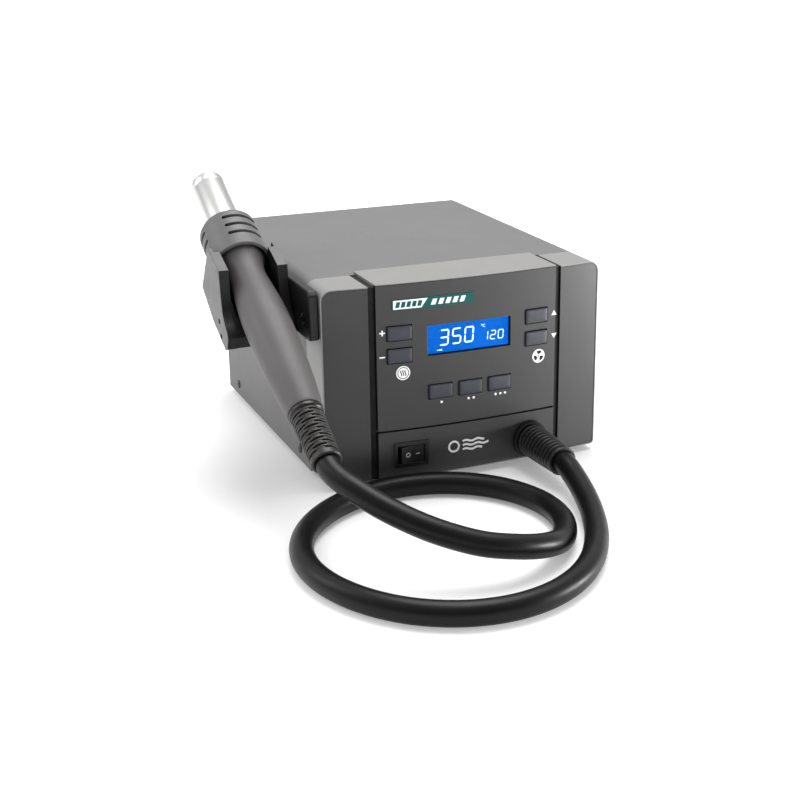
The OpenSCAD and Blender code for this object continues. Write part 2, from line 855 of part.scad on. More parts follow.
module front_collar() {
    length = collar_end - collar_start;
    color("grey") on_axis(collar_start) difference() {
        rotate_extrude() polygon([[tube_r + 0.4, 0], [collar_r - 2.5, 0], [collar_r - 0.7, 0.7], [collar_r, 2.5],
            [collar_r, length - 0.6], [collar_r - 0.6, length], [collar_r - 2, length],
            [collar_r - 2, 2.4], [tube_r + 0.4, 2.4]]);
        for (a = [0:120:240]) rotate([0, 0, a - 15]) for (z = [5.75, 13.55, 21.35]) translate([0, 0, z])
            sector(66, 30, 2.9);
    }
}

module heater_tube() {
    color("silver") on_axis(tube_start) rotate_extrude() polygon([[tube_r - 0.7, 0.4], [tube_r - 0.4, 0],
        [tube_r - 0.2, 0.1], [tube_r, 0.6], [tube_r, tube_bare], [tube_r + 0.3, tube_bare], [tube_r + 0.3, 62],
        [tube_r - 0.7, 62]]);
}

module mica_sleeve() {
    color("tan") on_axis(tube_start + 8) difference() {
        cylinder(r = tube_r - 0.9, h = 52);
        translate([0, 0, -1]) cylinder(r = tube_r - 1.4, h = 60);
    }
}

module heater_core() {
    color("white") on_axis(tube_start + 12) difference() {
        union() {
            cylinder(r = 7.2, h = 46);
            cylinder(r = 9.4, h = 1.5);
            translate([0, 0, 44.5]) cylinder(r = 9.4, h = 1.5);
        }
        for (a = [0:60:300]) rotate([0, 0, a]) translate([4.6, 0, -1]) cylinder(r = 1.5, h = 60);
        translate([0, 0, -1]) cylinder(r = 1, h = 60);
    }
}

module heater_coil() {
    color("saddlebrown") on_axis(tube_start + 12) for (k = [0:13]) translate([0, 0, 3.5 + 3 * k])
        rotate_extrude() translate([7.85, 0]) circle(r = 0.6, $fn = 16);
}

module handle_board() {
    color("darkgreen") on_axis(98) {
        block([-7, -0.8, 0], [7, 0.8, 56]);
        translate([0, -2.2, 4]) cylinder(r = 1.2, h = 16);
        block([-3, 0.7, 30], [3, 3, 40]);
    }
}

module handle_end_ring() {
    color("black") on_axis(handle_end + 0.02) difference() {
        cylinder(r = tail_r - 0.5, h = boot_start - handle_end - 0.04);
        translate([0, 0, -1]) cylinder(r = hose_bore_r, h = 20);
    }
}

module handle_boot() {
    color("black") on_axis(boot_start) ribbed_boot(boot_end - boot_start, 9.6, 8.9, 13);
}

at_home() base_tray();
at_home() case_cover();
at_home() rear_panel();
at_home() front_bezel();
at_home() groove_trim();
at_home() left_fascia();
at_home() right_fascia();
at_home() control_panel();
at_home() lower_panel();
at_home() label_plate();
at_home() display_window();
at_home() lcd_module();
at_home() control_board();
at_home() key_switches();
at_home() temp_up_key();
at_home() temp_down_key();
at_home() air_up_key();
at_home() air_down_key();
at_home() channel_1_key();
at_home() channel_2_key();
at_home() channel_3_key();
at_home() switch_frame();
at_home() power_rocker();
at_home() hose_gland();
at_home() gland_nut();
at_home() panel_boot();
at_home() air_hose();
at_home() air_duct();
at_home() blower_housing();
at_home() blower_cover();
at_home() blower_motor();
at_home() blower_impeller();
at_home() transformer_core();
at_home() transformer_coil();
at_home() power_board();
at_home() heat_sink();
at_home() board_spacers();
at_home() mains_inlet();
at_home() inlet_pins();
at_home() fuse_drawer();
at_home() fuse();
at_home() rubber_feet();
at_home() foot_screws();
at_home() case_screws();
at_home() cradle_bracket();
at_home() left_cheek();
at_home() right_cheek();
at_home() cradle_saddle();
at_home() cradle_screws();
at_home() cradle_magnet();
at_home() handle_shell_left();
at_home() handle_shell_right();
at_home() front_collar();
at_home() heater_tube();
at_home() mica_sleeve();
at_home() heater_core();
at_home() heater_coil();
at_home() handle_board();
at_home() handle_end_ring();
at_home() handle_boot();
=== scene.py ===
# Looks of the hot air station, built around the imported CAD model. Shapes are in station millimetres:
# x = 0 is the middle of the case, y = 0 its front corners and z = 0 the table.
import json
import bmesh
import bpy
from math import asin, cos, degrees, hypot, pi, radians, sin, sqrt
from mathutils import Matrix, Vector

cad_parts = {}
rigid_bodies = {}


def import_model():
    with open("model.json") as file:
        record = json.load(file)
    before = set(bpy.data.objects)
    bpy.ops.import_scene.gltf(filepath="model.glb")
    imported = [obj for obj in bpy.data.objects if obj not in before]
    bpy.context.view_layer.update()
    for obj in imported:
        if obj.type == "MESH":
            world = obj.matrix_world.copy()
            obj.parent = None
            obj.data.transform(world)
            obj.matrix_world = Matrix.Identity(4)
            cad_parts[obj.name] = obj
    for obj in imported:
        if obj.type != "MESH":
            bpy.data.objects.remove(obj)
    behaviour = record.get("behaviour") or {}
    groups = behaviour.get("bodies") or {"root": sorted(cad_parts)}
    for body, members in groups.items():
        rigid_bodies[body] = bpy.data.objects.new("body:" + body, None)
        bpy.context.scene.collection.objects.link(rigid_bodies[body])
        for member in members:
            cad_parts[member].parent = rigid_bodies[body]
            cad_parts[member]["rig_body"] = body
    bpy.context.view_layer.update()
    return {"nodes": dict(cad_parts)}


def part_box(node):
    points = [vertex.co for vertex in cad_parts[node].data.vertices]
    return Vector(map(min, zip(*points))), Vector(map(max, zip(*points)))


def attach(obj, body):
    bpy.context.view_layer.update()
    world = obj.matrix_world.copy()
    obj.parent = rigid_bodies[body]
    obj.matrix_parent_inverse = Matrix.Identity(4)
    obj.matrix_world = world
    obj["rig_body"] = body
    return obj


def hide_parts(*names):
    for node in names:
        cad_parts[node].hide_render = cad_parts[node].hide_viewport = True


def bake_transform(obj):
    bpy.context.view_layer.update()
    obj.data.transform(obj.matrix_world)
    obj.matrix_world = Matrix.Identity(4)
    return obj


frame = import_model()

MM = 0.001
SHARP = radians(35)

# the case, as the CAD has it
COVER_LOW, COVER_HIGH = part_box("case_cover")
BODY_W = (COVER_HIGH.x - COVER_LOW.x) / MM
BODY_D = 220
ORIGIN = Vector(((COVER_LOW.x + COVER_HIGH.x) / 2, COVER_HIGH.y - BODY_D * MM, 0))
PLACE = Matrix.Translation(ORIGIN) @ Matrix.Scale(MM, 4)

# the bowed front
BOW = 7
BOW_R = (BODY_W ** 2 / 4 + BOW ** 2) / (2 * BOW)
BOW_Y = BOW_R - BOW
MID_PROUD = 0.9
PANEL_BACK = -2.95
DISPLAY_Z = 92
KEY_SIZE = (15.2, 8.8)
KEY_PROUD = 1.3
KEYS = {
    "temp_up_key": (-46.2, 99), "temp_down_key": (-46.2, 84.8), "air_up_key": (46.6, 99.2),
    "air_down_key": (46.6, 84.8), "channel_1_key": (-19.8, 59), "channel_2_key": (0.3, 59),
    "channel_3_key": (20.4, 59),
}
SWITCH = (-39.6, 20)
OUTLET = (42.5, 18)
HEAT_SIGN, FAN_SIGN = (-44.1, 73.4), (48.7, 72.4)
GLAND_Y = -11

# the handpiece: distances s run along its axis from the tip towards the hose
TIP = Vector((-122, 146.4, 172.9))
PITCH = radians(26.4)
ALONG = Vector((0, -cos(PITCH), -sin(PITCH)))
LIFT = Vector((0, -sin(PITCH), cos(PITCH)))
HAND = PLACE @ Matrix.Translation(TIP) @ Matrix((
    (1, 0, 0, 0), (0, LIFT.y, ALONG.y, 0), (0, LIFT.z, ALONG.z, 0), (0, 0, 0, 1)))
COLLAR_START, COLLAR_END, COLLAR_R, COLLAR_WALL = 56, 90, 18.5, 2
HANDLE_START, HANDLE_END = 74, 222
BOOT_START, BOOT_END = 226, 262
TUBE_START, TUBE_END, TUBE_R = 6, 68, 11
NECK_R, NECK_FLARE, BELLY_R, TAIL_R = 10.9, 3.9, 14.3, 10.6

# the collar's air slots: their rows, half their width, and the columns of a slot and of a third
SLOT_ROWS, SLOT_HALF = (7.2, 15, 22.8), 1.45
SLOT_CELLS, SLOT_STEP = 10, 15

# the air hose
HOSE_R = 7
HOSE_STEPS = 13
HOSE_SIDES = 32
HOSE_INSIDE = 5

# the camera: its aim, its azimuth, elevation and roll, and its distance, sensor and lens
CAMERA_AIM = Vector((-10.04, 0, 49.12))
CAMERA_TURNS = (-23.58, 19.05, -0.26)
CAMERA_REACH = 908.74
CAMERA_LENS = (36, 64.94)
CAMERA_SHIFT = -0.0628

# the floor and its raised rim, in metres
FLOOR_R, RIM_R, RIM_HIGH = 25, 26, 2.4


# ---- shapes

def face_y(x, lift):
    """Depth at x of a surface that stands lift proud of the bowed front."""
    return BOW_Y - sqrt((BOW_R + lift) ** 2 - x * x)


def smooth(t):
    return t * t * (3 - 2 * t)


def link(name, mesh):
    obj = bpy.data.objects.new(name, mesh)
    bpy.context.scene.collection.objects.link(obj)
    return obj


def new_mesh(name, verts, faces, matrix=Matrix()):
    """A clean closed mesh with normals outwards and hard corners marked sharp."""
    mesh = bpy.data.meshes.new(name)
    bm = bmesh.new()
    made = [bm.verts.new(matrix @ Vector(v)) for v in verts]
    for face in faces:
        try:
            bm.faces.new([made[i] for i in face])
        except ValueError:
            continue
    bmesh.ops.remove_doubles(bm, verts=bm.verts, dist=2e-6)
    bmesh.ops.recalc_face_normals(bm, faces=bm.faces)
    for edge in bm.edges:
        edge.smooth = not (edge.is_manifold and edge.calc_face_angle() > SHARP)
    for face in bm.faces:
        face.smooth = True
    bm.to_mesh(mesh)
    bm.free()
    return mesh


def soften(obj, width, segments):
    """Rounds the hard corners by width, in millimetres."""
    for edge in obj.data.edges:
        edge.use_edge_sharp = False
    bevel = obj.modifiers.new("soft_edges", "BEVEL")
    bevel.width = width * MM
    bevel.segments = segments
    bevel.limit_method = "ANGLE"
    bevel.angle_limit = SHARP
    bevel.use_clamp_overlap = False
    bevel.harden_normals = True


def paint_faces(obj, chosen):
    """Gives the faces that chosen(normal, centre) picks the piece's second material."""
    for face in obj.data.polygons:
        if chosen(face.normal, face.center):
            face.material_index = 1


def build(name, shape, material, replaced=(), bevel=0, segments=2, matrix=PLACE, body="station"):
    """A new piece with its corners, its material, its body and the CAD nodes that it stands for."""
    obj = link(name, new_mesh(name, *shape, matrix))
    if bevel:
        soften(obj, bevel, segments)
    for one in material if isinstance(material, list) else [material]:
        obj.data.materials.append(one)
    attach(obj, body)
    if replaced:
        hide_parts(*replaced)
    return obj


def refined(node, name, material, bevel, segments=2):
    """The CAD shape of a node as clean faces with rounded corners."""
    source = frame["nodes"][node]
    bm = bmesh.new()
    bm.from_mesh(source.data)
    bmesh.ops.remove_doubles(bm, verts=bm.verts, dist=1e-6)
    bmesh.ops.dissolve_limit(bm, angle_limit=radians(0.1), verts=bm.verts, edges=bm.edges)
    bm.verts.index_update()
    verts = [v.co[:] for v in bm.verts]
    faces = [[v.index for v in f.verts] for f in bm.faces]
    bm.free()
    return build(name, (verts, faces), material, [node], bevel, segments, Matrix(), source["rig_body"])


def joined(*shapes):
    """Several shapes as one list of points and faces."""
    verts, faces = [], []
    for more_verts, more_faces in shapes:
        faces += [[i + len(verts) for i in face] for face in more_faces]
        verts += more_verts
    return verts, faces


def moved(shape, matrix):
    return [tuple(matrix @ Vector(v)) for v in shape[0]], shape[1]


def polar(radius, angle, x=0, z=0):
    return x + radius * cos(angle), z + radius * sin(angle)


def walls(n, near=0, far=None):
    """Side faces between two loops of n points whose first points are near and far."""
    far = near + n if far is None else far
    return [[near + i, near + (i + 1) % n, far + (i + 1) % n, far + i] for i in range(n)]


def prism(low, high):
    """A closed shape between two loops of points."""
    n = len(low)
    return low + high, [list(range(n)), list(range(2 * n - 1, n - 1, -1))] + walls(n)


def revolve(profile, sides, start=0, sweep=360):
    """A closed profile of (radius, distance) points turned about the local z axis."""
    full = sweep >= 360
    count = sides if full else sides + 1
    n = len(profile)
    verts = []
    for k in range(count):
        a = radians(start + sweep * k / sides)
        verts += [(*polar(r, a), s) for r, s in profile]
    faces = []
    for k in range(sides):
        faces += walls(n, k * n, (k + 1) % count * n)
    if not full:
        faces += [list(range(n)), list(range(sides * n, sides * n + n))]
    return verts, faces


def extrude(outline, front, back):
    """A flat outline of (x, z) points between two depths, each given as a function of x and z."""
    return prism([(x, front(x, z), z) for x, z in outline], [(x, back(x, z), z) for x, z in outline])


def rounded(width, height, radius, x=0, z=0, steps=5):
    """Outline of a rectangle with round corners."""
    points = []
    for k, (sx, sz) in enumerate(((1, 1), (-1, 1), (-1, -1), (1, -1))):
        cx, cz = x + sx * (width / 2 - radius), z + sz * (height / 2 - radius)
        points += [polar(radius, radians(90 * (k + i / steps)), cx, cz) for i in range(steps + 1)]
    return points


def circle(radius, x, z, steps):
    return [polar(radius, 2 * pi * k / steps, x, z) for k in range(steps)]


def ribbon(points, width):
    """Outline of a line of some width through a few points."""
    upper, lower = [], []
    for i, (x, z) in enumerate(points):
        (x0, z0), (x1, z1) = points[max(i - 1, 0)], points[min(i + 1, len(points) - 1)]
        span = hypot(x1 - x0, z1 - z0)
        nx, nz = -(z1 - z0) / span * width / 2, (x1 - x0) / span * width / 2
        upper.append((x + nx, z + nz))
        lower.append((x - nx, z - nz))
    return upper + lower[::-1]


def framed(outer, inner, front, back):
    """A flat closed frame between two outlines with as many points, and between two depths."""
    n = len(outer)
    verts = [(x, depth(x, z), z) for depth in (front, back) for line in (outer, inner) for x, z in line]
    return verts, walls(n, 0, n) + walls(n, 2 * n, 3 * n) + walls(n, 0, 2 * n) + walls(n, n, 3 * n)


def ring(outer, inner, x, z, front, back, parts):
    return framed(circle(outer, x, z, parts), circle(inner, x, z, parts), front, back)


def band(x0, x1, z0, z1, slants, front, back, count):
    """A plate that follows the bow between two depths, each end leaning right by its own slant."""
    verts = []
    for k in range(count + 1):
        slant = slants[0] + (slants[1] - slants[0]) * k / count
        for z, lean in ((z0, 0), (z1, slant)):
            x = x0 + (x1 - x0) * k / count + lean
            verts += [(x, front(x, z), z), (x, back(x, z), z)]
    faces = [[0, 2, 3, 1], [4 * count, 4 * count + 1, 4 * count + 3, 4 * count + 2]]
    for a in range(0, 4 * count, 4):
        b = a + 4
        faces += [[a, b, b + 2, a + 2], [a + 1, a + 3, b + 3, b + 1], [a, a + 1, b + 1, b],
                  [a + 2, b + 2, b + 3, a + 3]]
    return verts, faces


def shift(x, y, z):
    return Matrix.Translation((x, y, z))


def flat(y):
    return lambda x, z: y


def bowed(lift):
    return lambda x, z: face_y(x, lift)


def proud(lift):
    """Depth of a surface that stands lift proud of the middle panel."""
    return bowed(MID_PROUD + lift)


def printed(outlines, lift=0.05):
    """Ink on the bowed middle panel: thin outlines that follow its face."""
    return joined(*[extrude(outline, proud(lift), proud(-0.15)) for outline in outlines])


def subtract(obj, shape, matrix):
    """Cuts a closed shape out of a piece."""
    cutter = link("cutter", new_mesh("cutter", *shape, matrix))
    cut = obj.modifiers.new("cut", "BOOLEAN")
    cut.operation = "DIFFERENCE"
    cut.solver = "EXACT"
    cut.object = cutter
    bpy.context.view_layer.update()
    result = bpy.data.meshes.new_from_object(obj.evaluated_get(bpy.context.evaluated_depsgraph_get()))
    obj.modifiers.remove(cut)
    obj.data = result
    bpy.data.objects.remove(cutter)


# ---- materials

def material(name, **fixed):
    """A new material, its tree and its shader, with fixed values on the shader's own sockets."""
    made = bpy.data.materials.new(name)
    made.use_nodes = True
    tree = made.node_tree
    shader = tree.nodes["Principled BSDF"]
    for socket, value in fixed.items():
        shader.inputs[socket.replace("_", " ")].default_value = value
    return made, tree, shader


def feed(tree, shader, **sockets):
    for socket, value in sockets.items():
        tree.links.new(value, shader.inputs[socket.replace("_", " ")])


def put(tree, socket, value):
    if isinstance(value, bpy.types.NodeSocket):
        tree.links.new(value, socket)
    else:
        socket.default_value = value


def node(tree, kind, settings=None, **inputs):
    """A new node with its settings, and its inputs linked or set."""
    made = tree.nodes.new("ShaderNode" + kind)
    for key, value in (settings or {}).items():
        setattr(made, key, value)
    for key, value in inputs.items():
        put(tree, made.inputs[key.replace("_", " ")], value)
    return made


def place_in(tree, stretch=(1, 1, 1)):
    """The object's own coordinates in metres, stretched for grain that runs one way."""
    coords = node(tree, "TexCoord").outputs["Object"]
    return node(tree, "Mapping", Vector=coords, Scale=stretch).outputs["Vector"]


def noise(tree, vector, scale, detail=3, rough=0.55):
    made = node(tree, "TexNoise", Vector=vector, Scale=scale, Detail=detail, Roughness=rough)
    return made.outputs["Fac"]


def ranged(tree, value, low, high, start=0.3, end=0.7):
    """A value between start and end, spread over low to high."""
    return node(tree, "MapRange", Value=value, From_Min=start, From_Max=end, To_Min=low,
                To_Max=high).outputs["Result"]


def tones(tree, value, colours, start=0.3, end=0.7):
    """A colour ramp over two or more colours."""
    ramp = node(tree, "ValToRGB", Fac=value)
    stops = ramp.color_ramp.elements
    for k, colour in enumerate(colours):
        at = start + (end - start) * k / (len(colours) - 1)
        stop = stops[k] if k < 2 else stops.new(at)
        stop.position = at
        stop.color = (*colour, 1)
    return ramp.outputs["Color"]


def mixed(tree, share, first, second):
    """Two colours, each a socket or plain numbers, mixed by a share from 0 to 1."""
    made = tree.nodes.new("ShaderNodeMix")
    made.data_type = "RGBA"
    for index, value in ((0, share), (6, first), (7, second)):
        put(tree, made.inputs[index], (*value, 1) if isinstance(value, tuple) else value)
    return made.outputs[2]


def combined(tree, kind, operation, first, second):
    made = node(tree, kind, {"operation": operation})
    tree.links.new(first, made.inputs[0])
    tree.links.new(second, made.inputs[1])
    return made.outputs["Value"]


def bumped(tree, shader, height, strength, distance=0.0001):
    bump = node(tree, "Bump", Height=height, Strength=strength, Distance=distance)
    tree.links.new(bump.outputs["Normal"], shader.inputs["Normal"])


def worn_edges(tree):
    """1 on a corner that sticks out and 0 on the faces between."""
    soft = node(tree, "Bevel", {"samples": 4}, Radius=0.0006).outputs["Normal"]
    plain = node(tree, "NewGeometry").outputs["Normal"]
    return ranged(tree, combined(tree, "VectorMath", "DOT_PRODUCT", soft, plain), 1, 0, 0.86, 0.99)


def grey(value, warm=0):
    """A near-neutral colour: warm above 0 leans to brown, below 0 to blue."""
    return (value * (1 + warm), value, value * (1 - warm))


def moulded(name, colour, roughness, grain, depth, variation, edge=None, patch=45, spec=0.5):
    """Moulded or painted surface with soft patches, fine texture, rubbed edges and uneven gloss."""
    made, tree, shader = material(name, Specular_IOR_Level=spec)
    vector = place_in(tree)
    dark = tuple(c * (1 - variation) for c in colour)
    light = tuple(min(1, c * (1 + variation)) for c in colour)
    base = tones(tree, noise(tree, vector, patch, 4), (dark, colour, light))
    speck = noise(tree, vector, grain / 3, 2)
    base = mixed(tree, ranged(tree, speck, 0, 0.35, 0.45, 0.75), base, light)
    if edge:
        scuffs = ranged(tree, noise(tree, vector, patch * 6, 5, 0.7), 0.15, 0.8, 0.4, 0.65)
        rubbed = combined(tree, "Math", "MULTIPLY", worn_edges(tree), scuffs)
        base = mixed(tree, rubbed, base, edge)
    smudges = noise(tree, vector, patch * 1.7, 5, 0.6)
    feed(tree, shader, Base_Color=base, Roughness=ranged(tree, smudges, *roughness))
    bumped(tree, shader, noise(tree, vector, grain, 3, 0.6), depth)
    return made


def metal(name, colour, roughness, stretch, grain, depth, tint=None):
    """Bare metal with drawn or brushed lines along one way."""
    made, tree, shader = material(name, Metallic=1)
    lines = noise(tree, place_in(tree, stretch), grain, 4, 0.7)
    patches = noise(tree, place_in(tree), 60, 4)
    dark = tuple(c * 0.82 for c in colour)
    base = mixed(tree, ranged(tree, patches, 0, 0.5), tones(tree, lines, (dark, colour)), tint or dark)
    feed(tree, shader, Base_Color=base, Roughness=ranged(tree, lines, *roughness))
    bumped(tree, shader, lines, depth, 0.00005)
    return made


def layered(name, first, second, period, axis, roughness, **fixed):
    """Fine layers or windings stacked along one axis, such as laminations or wound wire."""
    made, tree, shader = material(name, **fixed)
    vector = place_in(tree)
    wave = node(tree, "TexWave", {"bands_direction": axis}, Vector=vector, Scale=0.1 * pi / (period * MM),
                Distortion=0.4, Detail=1, Detail_Scale=2).outputs["Fac"]
    feed(tree, shader, Base_Color=tones(tree, wave, (first, second), 0.2, 0.8),
         Roughness=ranged(tree, noise(tree, vector, 300), *roughness))
    bumped(tree, shader, wave, 0.5, 0.0002)
    return made


def circuit_board():
    """Green board: lighter copper runs under the lacquer, with small tinned pads."""
    made, tree, shader = material("circuit_board", Coat_Weight=0.4, Coat_Roughness=0.15)
    vector = place_in(tree)
    cells = node(tree, "TexVoronoi", {"feature": "DISTANCE_TO_EDGE", "distance": "CHEBYCHEV"},
                 Vector=vector, Scale=260, Randomness=0.75).outputs["Distance"]
    runs = tones(tree, cells, ((0.03, 0.16, 0.05), (0.008, 0.06, 0.02)), 0.05, 0.12)
    pads = node(tree, "TexVoronoi", {"feature": "F1"}, Vector=vector, Scale=320, Randomness=0.4)
    base = mixed(tree, ranged(tree, pads.outputs["Distance"], 1, 0, 0.12, 0.16), runs, (0.6, 0.58, 0.52))
    feed(tree, shader, Base_Color=base, Roughness=ranged(tree, noise(tree, vector, 400), 0.3, 0.45))
    bumped(tree, shader, cells, 0.2)
    return made


def backlight():
    """Blue display glass, slightly uneven, with a faint dot matrix."""
    made, tree, shader = material("display_backlight", Roughness=0.4, Emission_Strength=1,
                                  Specular_IOR_Level=0.04)
    vector = place_in(tree)
    glow = noise(tree, vector, 30, 1)
    shine = tones(tree, glow, ((0, 0.125, 0.62), (0.001, 0.165, 0.74)), 0.35, 0.65)
    shine = mixed(tree, ranged(tree, noise(tree, vector, 4000, 1), 0, 0.2), shine, (0, 0.1, 0.6))
    base = tones(tree, glow, ((0, 0.01, 0.05), (0, 0.012, 0.07)))
    feed(tree, shader, Emission_Color=shine, Base_Color=base)
    return made


def lit_segment():
    """The lit segments of the display."""
    made, tree, shader = material("display_segment", Roughness=0.4, Emission_Strength=0.95)
    glow = noise(tree, place_in(tree), 900, 2)
    feed(tree, shader, Emission_Color=tones(tree, glow, ((0.55, 0.86, 1), (0.8, 0.97, 1))),
         Base_Color=tones(tree, glow, ((0.6, 0.8, 0.9), (0.75, 0.9, 0.95))))
    return made


def clear_plastic():
    """Clear window with faint wipe marks."""
    made, tree, shader = material("display_window", Transmission_Weight=1, IOR=1.07,
                                  Base_Color=(0.95, 0.98, 1, 1))
    wipes = noise(tree, place_in(tree, (1, 1, 6)), 120, 4, 0.6)
    feed(tree, shader, Roughness=ranged(tree, wipes, 0.02, 0.07))
    return made


STEEL_PAINT = moulded("case_paint", grey(0.132), (0.54, 0.62), 2600, 0.3, 0.03, grey(0.22), 14, spec=0.35)
BEZEL = moulded("bezel_plastic", grey(0.205, 0.014), (0.42, 0.52), 3200, 0.18, 0.03, grey(0.32), 20)
FASCIA = moulded("fascia_plastic", grey(0.03), (0.4, 0.48), 3400, 0.2, 0.05, grey(0.08), 22, spec=0.42)
# near black: the groove strips and the symbols' dark print, and painted shade on the fascia panels' side,
# top and bottom faces
TRIM_AND_SHADE = moulded("trim_plastic_and_painted_shade", grey(0.006), (0.4, 0.55), 2500, 0.2, 0.2, spec=0.2)
KEY = moulded("key_plastic", (0.034, 0.037, 0.05), (0.38, 0.48), 3500, 0.2, 0.06, (0.13, 0.135, 0.16), 90,
              spec=0.4)
BLACK = moulded("black_plastic", grey(0.007), (0.28, 0.4), 2600, 0.2, 0.2, grey(0.03), 60, spec=0.35)
RUBBER = moulded("boot_rubber", grey(0.006, 0.04), (0.3, 0.42), 2200, 0.3, 0.25, grey(0.03, 0.03), 90,
                 spec=0.4)
BOOT_BROWN = moulded("handle_boot_rubber", (0.0105, 0.0088, 0.008), (0.36, 0.48), 2200, 0.2, 0.25,
                     (0.04, 0.034, 0.03), 90, spec=0.35)
HOSE = moulded("hose_rubber", grey(0.0022, 0.05), (0.34, 0.44), 1500, 0.2, 0.2, None, 40, spec=0.2)
CRADLE = moulded("cradle_plastic", grey(0.077), (0.45, 0.55), 2600, 0.25, 0.05, grey(0.28), 45)
# near black: the bracket's own colour, and painted shade on the cheeks' and the saddle's front, inner and
# lower faces
CRADLE_BLACK_AND_SHADE = moulded("cradle_black_and_painted_shade", grey(0.0065), (0.34, 0.44), 2600, 0.2, 0.12, grey(0.06), 45,
                      spec=0.3)
HANDLE = moulded("handle_soft_touch", (0.07, 0.066, 0.0655), (0.5, 0.58), 3000, 0.22, 0.05, None, 28)
COLLAR = moulded("collar_plastic", (0.088, 0.085, 0.087), (0.44, 0.54), 3000, 0.25, 0.05, grey(0.22), 40)
# painted shade: the collar's inside is near black where shade falls in it
COLLAR_INSIDE_SHADE = moulded("collar_inside_painted_shade", grey(0.008), (0.5, 0.6), 2600, 0.2, 0.15, None, 60,
                        spec=0.2)
INK = moulded("printed_white", grey(0.93), (0.45, 0.6), 3500, 0.1, 0.06, None, 200)
INK_GREY = moulded("switch_marks", grey(0.42), (0.45, 0.6), 3500, 0.1, 0.06, None, 200)
TEAL = moulded("label_teal", (0, 0.088, 0.078), (0.45, 0.55), 3000, 0.08, 0.06, None, 70, spec=0.2)
LABEL_WHITE = moulded("label_white", grey(0.92), (0.3, 0.4), 3000, 0.08, 0.04, None, 70)
TUBE = metal("drawn_steel", (0.62, 0.62, 0.62), (0.27, 0.37), (60, 4, 1), 900, 0.12, (0.54, 0.53, 0.51))
ZINC = metal("zinc_steel", (0.62, 0.62, 0.6), (0.28, 0.42), (1, 1, 8), 1200, 0.2)
DARK_STEEL = metal("black_oxide_steel", (0.1, 0.1, 0.105), (0.32, 0.45), (1, 8, 1), 1400, 0.2)
SHEET_ZINC = metal("galvanised_sheet", (0.58, 0.59, 0.6), (0.38, 0.5), (1, 3, 1), 500, 0.2)
ALUMINIUM = metal("aluminium", (0.72, 0.73, 0.74), (0.35, 0.48), (1, 6, 1), 900, 0.25)
COPPER = layered("copper_winding", (0.5, 0.2, 0.07), (0.2, 0.07, 0.025), 0.8, "Z", (0.25, 0.4),
                 Metallic=0.8)
LAMINATIONS = layered("core_laminations", (0.16, 0.16, 0.165), (0.05, 0.05, 0.052), 0.6, "Y", (0.35, 0.55),
                      Metallic=0.7)
BOARD = circuit_board()
FAN = moulded("fan_plastic", grey(0.035), (0.4, 0.5), 2400, 0.25, 0.15, grey(0.08), 60)
CERAMIC = moulded("ceramic", (0.72, 0.7, 0.64), (0.6, 0.75), 3500, 0.5, 0.08, None, 80)
MICA = layered("mica_sheet", (0.45, 0.36, 0.22), (0.3, 0.22, 0.12), 1.5, "Z", (0.3, 0.5),
               Specular_IOR_Level=0.6)
HEATER_WIRE = metal("heater_wire", (0.3, 0.22, 0.18), (0.35, 0.5), (1, 1, 1), 2500, 0.3, (0.2, 0.13, 0.22))
GLASS_FUSE = metal("fuse_caps", (0.66, 0.64, 0.6), (0.2, 0.3), (1, 4, 1), 1200, 0.15)


# ---- camera and air hose

def add_camera():
    """The camera that took the photograph, about a point of the station."""
    azimuth, elevation, roll = (radians(a) for a in CAMERA_TURNS)
    back = Vector((sin(azimuth) * cos(elevation), -cos(azimuth) * cos(elevation), sin(elevation)))
    level = (-back).cross(Vector((0, 0, 1))).normalized()
    upright = level.cross(-back)
    right = level * cos(roll) + upright * sin(roll)
    up = upright * cos(roll) - level * sin(roll)
    data = bpy.data.cameras.new("camera")
    data.sensor_width, data.lens = CAMERA_LENS
    data.shift_x = CAMERA_SHIFT
    data.clip_start = 0.05
    data.clip_end = 30
    camera = link("camera", data)
    turn = Matrix((right, up, back)).transposed().to_4x4()
    camera.matrix_world = Matrix.Translation(PLACE @ CAMERA_AIM + back * CAMERA_REACH * MM) @ turn
    bpy.context.scene.camera = camera


# the hose's route, the same points as the CAD has, in metres from the station's origin
HOSE_ROUTE = [
    (0.0425, -0.053, 0.018), (0.0413, -0.0704, 0.015), (0.0372, -0.0915, 0.0116),
    (0.0298, -0.1153, 0.0088), (0.0183, -0.1402, 0.0074), (0.0025, -0.1634, 0.007),
    (-0.0169, -0.1816, 0.007), (-0.0394, -0.1932, 0.007), (-0.0638, -0.197, 0.007),
    (-0.0881, -0.1923, 0.007), (-0.11, -0.1795, 0.007), (-0.1272, -0.1598, 0.007),
    (-0.1382, -0.1354, 0.007), (-0.1417, -0.1094, 0.007), (-0.1373, -0.0842, 0.007),
    (-0.1251, -0.061, 0.007), (-0.1061, -0.0417, 0.007), (-0.0826, -0.0289, 0.007),
    (-0.0569, -0.0241, 0.007), (-0.0318, -0.0282, 0.007), (-0.0099, -0.0408, 0.007),
    (0.0062, -0.0608, 0.007), (0.0142, -0.0854, 0.007), (0.0124, -0.1104, 0.007),
    (0.0011, -0.1328, 0.0078), (-0.017, -0.1496, 0.0136), (-0.039, -0.1568, 0.0196),
    (-0.0632, -0.154, 0.0255), (-0.0892, -0.1406, 0.0349), (-0.1111, -0.1177, 0.0462),
    (-0.122, -0.0883, 0.0564),
]


